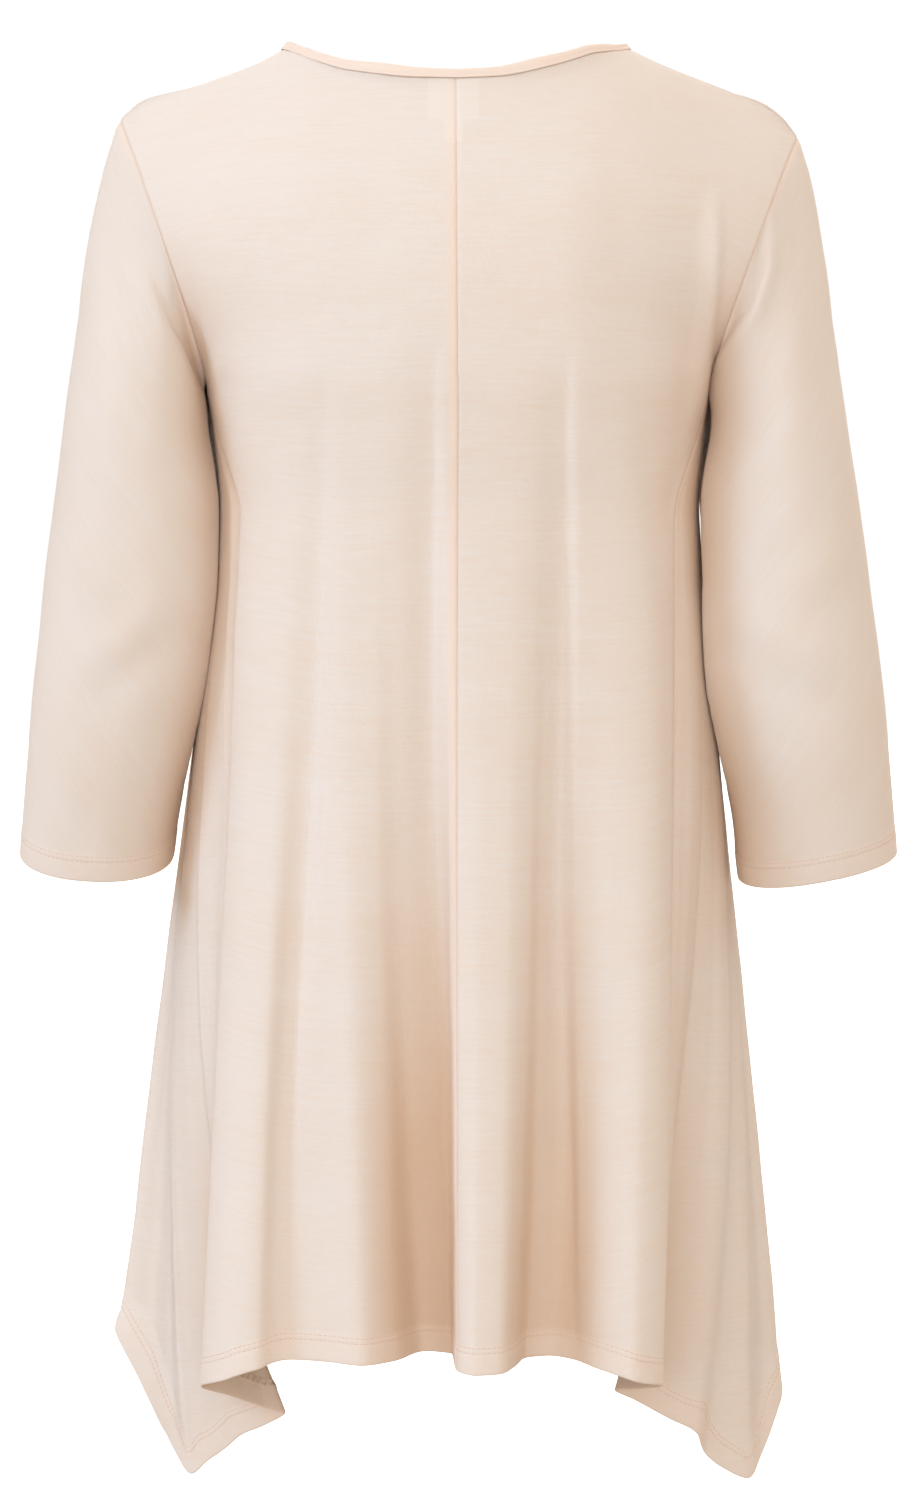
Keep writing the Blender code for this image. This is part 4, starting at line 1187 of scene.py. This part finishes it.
class Graph:
    """Node tree that is written from the code."""

    def __init__(self, tree):
        self.tree = tree

    def node(self, kind, settings=None, inputs=None):
        """New node with its settings, and with its inputs set or linked."""
        made = self.tree.nodes.new(kind)
        for key, value in (settings or {}).items():
            setattr(made, key, value)
        for key, value in (inputs or {}).items():
            if isinstance(value, Wire):
                self.tree.links.new(value.socket, made.inputs[key])
            else:
                made.inputs[key].default_value = value
        return made

    def wire(self, made, output=0):
        """Output of a node, by number or name."""
        return Wire(self, made.outputs[output])

    def math(self, operation, *values, use_clamp=False):
        """Result of one operation on numbers or wires."""
        settings = {"operation": operation, "use_clamp": use_clamp}
        return self.wire(self.node("ShaderNodeMath", settings, dict(enumerate(values))))

    def mix(self, share, first, second):
        """Colour between two others, share 0 for the first."""
        settings = {"data_type": "RGBA", "blend_type": "MIX"}
        return self.wire(self.node("ShaderNodeMix", settings, {0: share, 6: first, 7: second}), 2)

    def attribute(self, name):
        """Value stored at the points under a name."""
        return self.wire(self.node("ShaderNodeAttribute", {"attribute_name": name}), 2)

    def place(self):
        """Place on the object itself."""
        return self.wire(self.node("ShaderNodeTexCoord"), 3)

    def split(self, place):
        """The three coordinates of a place."""
        made = self.node("ShaderNodeSeparateXYZ", None, {0: place})
        return [self.wire(made, k) for k in range(3)]

    def noise(self, place, scale, stretch, detail=2.0):
        """Smooth noise in -1 to 1 on places stretched along each axis."""
        settings = {"operation": "MULTIPLY"}
        wide = self.wire(self.node("ShaderNodeVectorMath", settings, {0: place, 1: stretch}))
        inputs = {"Vector": wide, "Scale": scale, "Detail": detail, "Roughness": NOISE_ROUGHNESS}
        return self.wire(self.node("ShaderNodeTexNoise", None, inputs)) * 2.0 - 1.0


def new_material(name):
    """Empty material and the graph that fills it."""
    material = bpy.data.materials.new(name)
    material.use_nodes = True
    material.node_tree.nodes.clear()
    return material, Graph(material.node_tree)


def finish_material(graph, colour, roughness, height, distance, sheen, specular):
    """Shader of a soft thread or cloth from what varies over it."""
    relief = {"Height": height, "Distance": distance, "Strength": 1.0}
    inputs = {
        "Base Color": colour,
        "Roughness": roughness,
        "Normal": graph.wire(graph.node("ShaderNodeBump", None, relief)),
        "Sheen Weight": sheen,
        "Sheen Roughness": SHEEN_ROUGHNESS,
        "Sheen Tint": SHEEN_TINT,
        "Specular IOR Level": specular,
    }
    shader = graph.node("ShaderNodeBsdfPrincipled", None, inputs)
    graph.node("ShaderNodeOutputMaterial", None, {"Surface": graph.wire(shader)})


def label_shadow(graph, settings):
    """Where the label and the tab show through the cloth of the back neck."""
    x, y, z = graph.split(graph.place())
    parts = []
    for width, top, height, strength in SHOW_THROUGH:
        wide = ((width / 2 - abs(x - LABEL_CENTRE_X)) / SHOW_EDGE + 0.5).clamped()
        high = ((height / 2 - abs(z - (top - height / 2))) / SHOW_EDGE + 0.5).clamped()
        parts.append(wide * high * strength)
    steep, less = SHOW_BEHIND
    behind = (0.0 - y * steep - less).clamped()
    return (parts[0] + parts[1]) * behind * settings.label_show


def jersey(name, settings):
    """Fine heathered viscose jersey: streaks across, tiny wales down, soft bloom."""
    material, graph = new_material(name)
    flat = graph.wire(graph.node("ShaderNodeUVMap", {"uv_map": "Flat"}))
    fine, streak, cloud, speck = (graph.noise(flat, 1.0, *yarn) for yarn in YARN_CHANGES)
    heather = (streak * 0.75 + fine * 0.65 + cloud * 0.5 + speck * 0.3 + 0.5).clamped()
    colour = graph.mix(heather, tuple(settings.peach_yarn), tuple(settings.pale_yarn))
    # Painted shade: the cloth is mixed toward a darker, warmer colour where its hollows close it in.
    deep = graph.math("MINIMUM", graph.attribute("painted_hollow_shade") * settings.painted_shade_strength, DEEPEST_PAINTED_SHADE)
    colour = graph.mix(deep, colour, tuple(settings.painted_shade_colour))
    double = (graph.attribute("allowance") * ALLOWANCE_SHOW + graph.attribute("band") * BAND_SHOW).clamped()
    colour = graph.mix(double, colour, tuple(settings.double_colour))
    seam = (graph.attribute("seam") * SEAM_SHOW).clamped()
    colour = graph.mix(seam, colour, tuple(settings.seam_colour))
    if name.startswith("jersey_back"):
        colour = graph.mix(label_shadow(graph, settings), colour, SHOW_COLOUR)
    across, down, _ = graph.split(flat)
    wander = graph.noise(flat, 1.0, (130.0, 90.0, 1.0), 2.0) * 5.0 + cloud * 9.0
    wale = (across * (2 * math.pi / settings.wale_width) + wander).sine()
    course = (down * (2 * math.pi / settings.course_height) + wale * 1.2 + wander * 1.3).sine()
    height = wale * 0.35 + course * 0.25 + fine * 0.8 + speck * 0.6
    roughness = 0.70 + streak * 0.05 + speck * 0.04
    finish_material(graph, colour, roughness, height, settings.knit_depth, JERSEY_SHEEN, JERSEY_SHINE)
    return material


def thread_material(settings):
    """Twisted sewing thread, paler where the light catches it."""
    material, graph = new_material("sewing_thread")
    twist = graph.noise(graph.place(), THREAD_TWISTS, (1.0, 1.0, 3.0), 2.0)
    colour = graph.mix((twist * 0.5 + 0.5).clamped(), tuple(settings.thread_colour), PALE_THREAD)
    finish_material(graph, colour, 0.5 + twist * 0.08, twist, THREAD_RELIEF, 0.1, 0.45)
    return material


def label_material():
    """Smooth white weave of the blank label."""
    material, graph = new_material("label_weave")
    place = graph.place()
    x, _, z = graph.split(place)
    warp = (x * LABEL_WARP).sine()
    weft = (z * LABEL_WEFT + warp * 0.8).sine()
    cloud = graph.noise(place, 160.0, (1.0, 1.0, 1.0), 3.0)
    colour = graph.mix((weft * 0.3 + cloud * 0.3 + 0.5).clamped(), *LABEL_COLOURS)
    finish_material(graph, colour, 0.45 + cloud * 0.06, warp + weft, LABEL_RELIEF, 0.1, 0.5)
    return material


def line_tree(name, sizes):
    """Graph of a new geometry tree, the lines that it is given, as curves, and its named sizes."""
    tree = bpy.data.node_groups.new(name, "GeometryNodeTree")
    face = tree.interface
    face.new_socket("Geometry", in_out="INPUT", socket_type="NodeSocketGeometry")
    for title in sizes:
        face.new_socket(title, in_out="INPUT", socket_type="NodeSocketFloat")
    face.new_socket("Geometry", in_out="OUTPUT", socket_type="NodeSocketGeometry")
    graph = Graph(tree)
    given = graph.node("NodeGroupInput")
    lines = graph.wire(graph.node("GeometryNodeMeshToCurve", None, {"Mesh": graph.wire(given, 0)}))
    return graph, lines, [graph.wire(given, k + 1) for k in range(len(sizes))]


def finish_tree(graph, shape, material):
    """Geometry tree that gives out its shape as real faces of one material."""
    real = graph.node("GeometryNodeRealizeInstances", None, {"Geometry": shape})
    done = graph.node("GeometryNodeSetMaterial", None, {"Geometry": graph.wire(real), "Material": material})
    graph.node("NodeGroupOutput", None, {0: graph.wire(done)})
    return graph.tree


def stitch_tree(name, material):
    """Geometry nodes that lay one row of short stitches along each line."""
    graph, lines, (pitch, half_length, radius) = line_tree(name, ("Pitch", "Half Length", "Radius"))
    spread = graph.node("GeometryNodeCurveToPoints", {"mode": "LENGTH"}, {"Curve": lines, "Length": pitch})
    sides = {"Segments": STITCH_SIDES, "Rings": STITCH_RINGS, "Radius": 1.0}
    ball = graph.wire(graph.node("GeometryNodeMeshUVSphere", None, sides))
    size = graph.wire(graph.node("ShaderNodeCombineXYZ", None, {0: radius, 1: radius, 2: half_length}))
    grain = graph.wire(graph.node("GeometryNodeTransform", None, {"Geometry": ball, "Scale": size}))
    least, most = STITCH_SIZES
    limits = {2: least, 3: most, "Seed": STITCH_SEED}
    jitter = graph.node("FunctionNodeRandomValue", {"data_type": "FLOAT"}, limits)
    inputs = {
        "Points": graph.wire(spread, 0),
        "Instance": grain,
        "Rotation": graph.wire(spread, "Rotation"),
        "Scale": graph.wire(jitter, 1),
    }
    laid = graph.wire(graph.node("GeometryNodeInstanceOnPoints", None, inputs))
    return finish_tree(graph, laid, material)


def thread_tree(name, material):
    """Geometry nodes that draw a round thread along each line."""
    graph, lines, (radius,) = line_tree(name, ("Radius",))
    sides = {"Resolution": LOOPER_SIDES, "Radius": radius}
    ring = graph.wire(graph.node("GeometryNodeCurvePrimitiveCircle", {"mode": "RADIUS"}, sides))
    inputs = {"Curve": lines, "Profile Curve": ring, "Fill Caps": True}
    return finish_tree(graph, graph.wire(graph.node("GeometryNodeCurveToMesh", None, inputs)), material)


def run_tree(name, lines, tree, inputs):
    """Piece that a node tree makes from lines of points."""
    points = np.vstack(lines)
    edges = []
    start = 0
    for line in lines:
        edges += [(start + k, start + k + 1) for k in range(len(line) - 1)]
        start += len(line)
    mesh = bpy.data.meshes.new(name)
    mesh.from_pydata(points.tolist(), edges, [])
    piece = bpy.data.objects.new(name, mesh)
    bpy.context.scene.collection.objects.link(piece)
    modifier = piece.modifiers.new("Stitching", "NODES")
    modifier.node_group = tree
    for item in tree.interface.items_tree:
        if item.in_out == "INPUT" and item.name in inputs:
            modifier[item.identifier] = inputs[item.name]
    view = bpy.context.evaluated_depsgraph_get()
    view.update()
    made = bpy.data.meshes.new_from_object(piece.evaluated_get(view), depsgraph=view)
    piece.modifiers.clear()
    piece.data = made
    made.name = name
    made.shade_smooth()
    if not len(made.polygons):
        raise RuntimeError(name + " came out empty")
    return piece


# Settings


def colour_setting(name, description, default):
    """Colour that can be changed in the sidebar."""
    return FloatVectorProperty(
        name=name, description=description, default=(*default, 1.0),
        subtype="COLOR", size=4, min=0.0, max=1.0,
    )


def length_setting(name, description, default, least, most):
    """Length that can be changed in the sidebar."""
    return FloatProperty(
        name=name, description=description, default=default,
        min=least, max=most, unit="LENGTH", precision=5,
    )


class TunicSettings(bpy.types.PropertyGroup):
    """Sizes and colours of the tunic that can be changed."""

    pale_yarn: colour_setting("Pale yarn", "Lighter yarn of the heather", (0.88, 0.825, 0.79))
    peach_yarn: colour_setting("Peach yarn", "Warmer yarn of the heather", (0.875, 0.77, 0.695))
    seam_colour: colour_setting("Seam", "Cloth where two layers are sewn", (0.85, 0.665, 0.56))
    double_colour: colour_setting("Double cloth", "Cloth over a turned layer", (0.93, 0.79, 0.70))
    thread_colour: colour_setting("Thread", "Thread of hems, cuffs and neck", (0.72, 0.47, 0.34))
    # Painted shade: the darker, warmer colour mixed into the cloth in its hollows and folds, and how
    # strongly.
    painted_shade_colour: colour_setting("Deep colour", "Painted shade of the cloth deep in a fold", (0.72, 0.475, 0.29))
    painted_shade_strength: FloatProperty(
        name="Depth of colour", description="How much the cloth deepens in its hollows",
        default=2.6, min=0.0, max=4.0,
    )
    label_show: FloatProperty(
        name="Label show-through", description="How much the label lightens the back neck",
        default=0.32, min=0.0, max=1.0, subtype="FACTOR",
    )
    wale_width: length_setting("Wale width", "Width of a column of loops", 0.00068, 0.0003, 0.003)
    course_height: length_setting("Course height", "Height of a row of loops", 0.00052, 0.0003, 0.003)
    knit_depth: length_setting("Knit depth", "Depth of the loops", 0.00009, 0.0, 0.001)
    stitch_pitch: length_setting("Stitch pitch", "From one stitch to the next", 0.0030, 0.001, 0.01)
    thread_radius: length_setting("Thread radius", "Half the thread's thickness", 0.00022, 0.0001, 0.001)


# Operators


class TUNIC_OT_studio(bpy.types.Operator):
    """Pale floor, soft light and the camera at the photograph's angle"""

    bl_idname = "tunic.studio"
    bl_label = "Studio"

    def execute(self, context):
        add_floor()
        add_lights(context.scene)
        add_camera(context.scene)
        return {"FINISHED"}


def lay_cloth(context, names):
    """Cut pieces of one size, each in its own jersey."""
    for name in names:
        piece = add_cloth(name, jersey("jersey_" + name, context.scene.tunic))


class TUNIC_OT_body(bpy.types.Operator):
    """Both halves of the back and the front"""

    bl_idname = "tunic.body"
    bl_label = "Back and front"

    def execute(self, context):
        lay_cloth(context, ("back_left", "back_right"))
        lay_cloth(context, ("front",))
        return {"FINISHED"}


class TUNIC_OT_side_panels(bpy.types.Operator):
    """Side panels that end in hanging points"""

    bl_idname = "tunic.side_panels"
    bl_label = "Side panels"

    def execute(self, context):
        lay_cloth(context, ("side_panel_left", "side_panel_right"))
        return {"FINISHED"}


class TUNIC_OT_sleeves(bpy.types.Operator):
    """Set-in three-quarter sleeves"""

    bl_idname = "tunic.sleeves"
    bl_label = "Sleeves"

    def execute(self, context):
        lay_cloth(context, SLEEVES)
        return {"FINISHED"}


def neck_path():
    """Neck edge all round, from the left shoulder by way of the back, and the way the cloth runs on."""
    back = np.linspace(*fold_span("neck point left", "neck point right"), NECK_POINTS)
    front = np.linspace(*fold_span("front neck right", "front neck left"), NECK_POINTS)
    lines = []
    for share in (1.0, 1.0 - NECK_FALL):
        level = np.full(NECK_POINTS, share)
        lines.append(np.vstack([yoke_point(back, level, True)[:-1], yoke_point(front, level, False)]))
    path, onward = resample(lines[0], lines[0] - lines[1], BINDING_POINTS + 1)
    return path[:-1], unit(onward[:-1])


def binding_frame():
    """Path of the binding with the directions up and out of it."""
    path, onward = neck_path()
    inward = path.mean(axis=0) - path
    inward[:, 2] = 0.0
    inward = unit(inward)
    along = unit(np.roll(path, -2, axis=0) - np.roll(path, 2, axis=0))
    onward = unit(onward - along * np.sum(onward * along, axis=1)[:, None])
    to_middle, upward, on_cloth = BINDING_LEAN
    rise = inward * to_middle + np.array([0.0, 0.0, upward]) + onward * on_cloth
    rise = unit(rise - along * np.sum(rise * along, axis=1)[:, None])
    for _ in range(BINDING_ROUNDS):
        rise = unit(rise + (np.roll(rise, 1, axis=0) + np.roll(rise, -1, axis=0)) / 2)
    return path, rise, unit(np.cross(rise, along))


def binding_section():
    """Closed section of the folded strip: its outer line, then its inner line back again."""
    outer = np.array(BINDING_SECTION)
    run = np.gradient(outer, axis=0)
    inward = unit(np.stack([run[:, 1], -run[:, 0]], axis=-1))
    inner = outer + inward * BINDING_LAYER
    return np.vstack([outer, inner[::-1]])


class TUNIC_OT_binding(bpy.types.Operator):
    """Narrow binding folded over the neck edge"""

    bl_idname = "tunic.binding"
    bl_label = "Neck binding"

    def execute(self, context):
        path, rise, out = binding_frame()
        run = run_along(path)
        swell = 1.0 + BINDING_SWELLING * wavy(run, BINDING_SWELL)
        section = binding_section()
        share, place, reach = BINDING_TALL
        tall = 1.0 + share * hump(np.abs(path[:, 0]) - place, reach) * (path[:, 1] < 0)
        share, place, reach = BINDING_LOW
        tall -= share * hump(path[:, 0] - place, reach)
        points = np.array([
            path + rise * (up / 1000 * np.where(up > BINDING_FOOT, tall, 1.0))[:, None]
            + out * (wide / 1000 * swell)[:, None]
            for up, wide in section
        ])
        rows, columns = points.shape[:2]
        faces = grid_faces(rows + 1, columns, True, True, 0) % (rows * columns)
        share, place, reach = BINDING_SEAM
        values = {
            "seam": np.repeat(share * hump(section[:, 0] - place, reach), columns),
            "band": np.full(rows * columns, 1.0),
            "allowance": np.full(rows * columns, 1.0),
            # Painted shade on the binding's underside.
            "painted_hollow_shade": np.repeat(np.where(section[:, 1] > 0, 0.0, BINDING_PAINTED_SHADE), columns),
        }
        flat = np.stack([np.repeat(run_along(section) / 1000, columns), np.tile(run, rows)], axis=-1)
        material = jersey("jersey_binding", context.scene.tunic)
        piece = add_mesh("neck_binding_cloth", points.reshape(-1, 3), faces, material, values, flat)
        settle(piece, "neck_binding")
        return {"FINISHED"}


def below_neck(x, drop):
    """Point of the back's face at a distance from the middle and down the cloth from the neck."""
    centre = fold_index("centre back")
    places = np.linspace(centre - LABEL_SEARCH, centre + LABEL_SEARCH, LABEL_SEARCH_POINTS)
    near_top = yoke_point(places, np.full_like(places, LABEL_LEVEL), True)
    place = np.interp(x, near_top[:, 0], places)
    level = np.linspace(1.0, LABEL_LOWEST, LABEL_FALL_POINTS)
    line = yoke_point(np.full_like(level, place), level, True)
    return [np.interp(drop, run_along(line), column) for column in line.T]


def label_grid(width, top_drop, height):
    """Outer face of a label against the inside of the back, and the direction out of it."""
    xs = LABEL_CENTRE_X + np.linspace(-width / 2, width / 2, LABEL_COLUMNS)
    drops = top_drop + np.linspace(0.0, height, LABEL_ROWS)
    grid = np.array([[below_neck(x, drop) for x in xs] for drop in drops])
    out = grid_normals(grid)
    share = np.linspace(0.0, 1.0, LABEL_ROWS)[:, None, None]
    curl = LABEL_CURL * ease((share - LABEL_CURL_FROM) / (1.0 - LABEL_CURL_FROM)) ** 2
    return grid - out * (SOLID_WALL + SOLID_GAP + curl), out


class TUNIC_OT_label(bpy.types.Operator):
    """Blank woven label and small blank tab inside the back neck"""

    bl_idname = "tunic.label"
    bl_label = "Label and tab"

    def execute(self, context):
        material = label_material()
        tab_drop = LABEL_DROP + LABEL_HEIGHT + SOLID_GAP
        for name, width, top, height, slot in (
            ("neck_label", LABEL_WIDTH, LABEL_DROP, LABEL_HEIGHT, "label_weave"),
            ("size_tab", TAB_WIDTH, tab_drop, TAB_HEIGHT, "tab_weave"),
        ):
            face, out = label_grid(width, top, height)
            inner = face - out * LABEL_THICKNESS
            faces = shell_faces(LABEL_ROWS, LABEL_COLUMNS, False)
            points = np.vstack([face.reshape(-1, 3), inner.reshape(-1, 3)])
            piece = settle(add_mesh(name + "_weave", points, faces, material), name)
        return {"FINISHED"}


def row_on(name, distance, inside=False):
    """Line of a hem or cuff at a distance from its edge, on the outer or the inner face."""
    made = cloth(name)
    row = len(made.outer) - len(HEM_STEPS) + HEM_STEPS.index(distance)
    if inside:
        line = made.inner[row] - made.out[row] * LOOPER_STAND
    else:
        line = made.outer[row] + made.out[row] * STITCH_STAND
    if made.around:
        line = np.vstack([line, line[:1]])
    return line


def zigzag(first, second, pitch):
    """Looper thread that crosses from one row to the other."""
    count = int(run_along(first)[-1] / pitch)
    a, b = resample(first, second, count)
    return np.where((np.arange(count) % 2 == 0)[:, None], a, b)


class TUNIC_OT_stitching(bpy.types.Operator):
    """Two-needle stitching of the hem and cuffs, and the edge stitch of the neck"""

    bl_idname = "tunic.stitching"
    bl_label = "Stitching"

    def execute(self, context):
        settings = context.scene.tunic
        material = thread_material(settings)
        stitches = stitch_tree("stitch_row", material)
        threads = thread_tree("looper_thread", material)
        sizes = {
            "Pitch": settings.stitch_pitch,
            "Half Length": settings.stitch_pitch * STITCH_SHARE,
            "Radius": settings.thread_radius,
        }
        path, rise, out = binding_frame()
        neck = path + rise * NECK_STITCH_UP + out * NECK_STITCH_OUT
        for name, lines in (
            ("hem_stitches", [row_on(name, row) for name in PANELS for row in (UPPER_ROW, LOWER_ROW)]),
            ("cuff_stitches", [row_on(name, row) for name in SLEEVES for row in (UPPER_ROW, LOWER_ROW)]),
            ("neck_stitches", [np.vstack([neck, neck[:1]])]),
        ):
            settle(run_tree(name, lines, stitches, sizes), None)
        for name, pieces in (("hem_looper_thread", PANELS), ("cuff_looper_thread", SLEEVES)):
            rows = [(row_on(piece, UPPER_ROW, True), row_on(piece, LOWER_ROW, True)) for piece in pieces]
            lines = [zigzag(upper, lower, LOOPER_PITCH) for upper, lower in rows]
            settle(run_tree(name, lines, threads, {"Radius": settings.thread_radius}), None)
        return {"FINISHED"}


# Floor, light and camera


def add_floor():
    """Plain pale floor, darker and warmer in the light that it sends back than it looks."""
    mesh = bpy.data.meshes.new("floor")
    builder = bmesh.new()
    bmesh.ops.create_circle(builder, cap_ends=True, segments=FLOOR_SIDES, radius=FLOOR_RADIUS)
    bmesh.ops.translate(builder, verts=builder.verts[:], vec=(0.0, 0.0, FLOOR_Z))
    builder.to_mesh(mesh)
    builder.free()
    floor = bpy.data.objects.new("floor", mesh)
    bpy.context.scene.collection.objects.link(floor)
    material, graph = new_material("pale_floor")
    seen = graph.wire(graph.node("ShaderNodeLightPath"), 0)
    inputs = {
        "Base Color": graph.mix(seen, FLOOR_GLOW, FLOOR_COLOUR),
        "Roughness": FLOOR_ROUGHNESS,
        "Emission Color": graph.mix(seen, (0.0, 0.0, 0.0, 1.0), WHITE),
        "Emission Strength": FLOOR_EMISSION,
    }
    shader = graph.node("ShaderNodeBsdfPrincipled", None, inputs)
    graph.node("ShaderNodeOutputMaterial", None, {"Surface": graph.wire(shader)})
    mesh.materials.append(material)


def add_sun(name, azimuth, elevation, strength, angle, colour):
    """Broad soft lamp, azimuth 0 at the camera and positive to its right."""
    data = bpy.data.lights.new(name, "SUN")
    data.energy = strength
    data.angle = math.radians(angle)
    data.color = colour
    lamp = bpy.data.objects.new(name, data)
    turn, lift = math.radians(azimuth), math.radians(elevation)
    away = Vector((math.sin(turn) * math.cos(lift), -math.cos(turn) * math.cos(lift), math.sin(lift)))
    lamp.rotation_mode = "QUATERNION"
    lamp.rotation_quaternion = away.to_track_quat("Z", "Y")
    lamp.location = away * LAMP_DISTANCE
    bpy.context.scene.collection.objects.link(lamp)


def add_lights(scene):
    """Three soft lamps and a pale surrounding."""
    for lamp in LAMPS:
        add_sun(*lamp)
    world = bpy.data.worlds.new("studio_air")
    world.use_nodes = True
    world.node_tree.nodes.clear()
    graph = Graph(world.node_tree)
    seen = graph.wire(graph.node("ShaderNodeLightPath"), 0)
    strength = AIR_STRENGTH + seen * AIR_SEEN_MORE
    tint = graph.mix(seen, AIR_TINT, WHITE)
    air = graph.node("ShaderNodeBackground", None, {"Color": tint, "Strength": strength})
    graph.node("ShaderNodeOutputWorld", None, {"Surface": graph.wire(air)})
    scene.world = world
    scene.view_settings.view_transform = "Standard"
    scene.view_settings.look = "None"


def add_camera(scene):
    """Level camera behind the garment, with the photograph's frame."""
    data = bpy.data.cameras.new("camera")
    data.sensor_width = SENSOR
    data.lens = SENSOR * FOCUS_DISTANCE / (PHOTO_HEIGHT * METRES_PER_PIXEL)
    data.shift_y = -(PHOTO_HEIGHT / 2 - LENS_AXIS_ROW) / PHOTO_HEIGHT
    data.clip_start = NEAREST_SEEN
    data.clip_end = FARTHEST_SEEN
    camera = bpy.data.objects.new("camera", data)
    camera.location = (0.0, -FOCUS_DISTANCE, CAMERA_Z)
    camera.rotation_euler = (math.pi / 2, 0.0, 0.0)
    scene.collection.objects.link(camera)
    scene.camera = camera


# Add-on


OPERATORS = (
    TUNIC_OT_body,
    TUNIC_OT_side_panels,
    TUNIC_OT_sleeves,
    TUNIC_OT_binding,
    TUNIC_OT_label,
    TUNIC_OT_stitching,
    TUNIC_OT_studio,
)


class TUNIC_PT_sidebar(bpy.types.Panel):
    """Pieces of the tunic"""

    bl_label = "Tunic"
    bl_idname = "TUNIC_PT_sidebar"
    bl_space_type = "VIEW_3D"
    bl_region_type = "UI"
    bl_category = "Tunic"

    def draw(self, context):
        for name in TunicSettings.__annotations__:
            self.layout.prop(context.scene.tunic, name)
        for operator in OPERATORS:
            self.layout.operator(operator.bl_idname)


CLASSES = (TunicSettings, *OPERATORS, TUNIC_PT_sidebar)


def register():
    """Add the tunic's settings, operators and panel."""
    for item in CLASSES:
        bpy.utils.register_class(item)
    bpy.types.Scene.tunic = PointerProperty(type=TunicSettings)


def unregister():
    """Take them away again."""
    del bpy.types.Scene.tunic
    for item in reversed(CLASSES):
        bpy.utils.unregister_class(item)


def main():
    """Make the whole tunic."""
    register()
    bpy.ops.tunic.body()
    bpy.ops.tunic.side_panels()
    bpy.ops.tunic.sleeves()
    bpy.ops.tunic.binding()
    bpy.ops.tunic.label()
    bpy.ops.tunic.stitching()
    bpy.ops.tunic.studio()


if __name__ == "__main__":
    main()
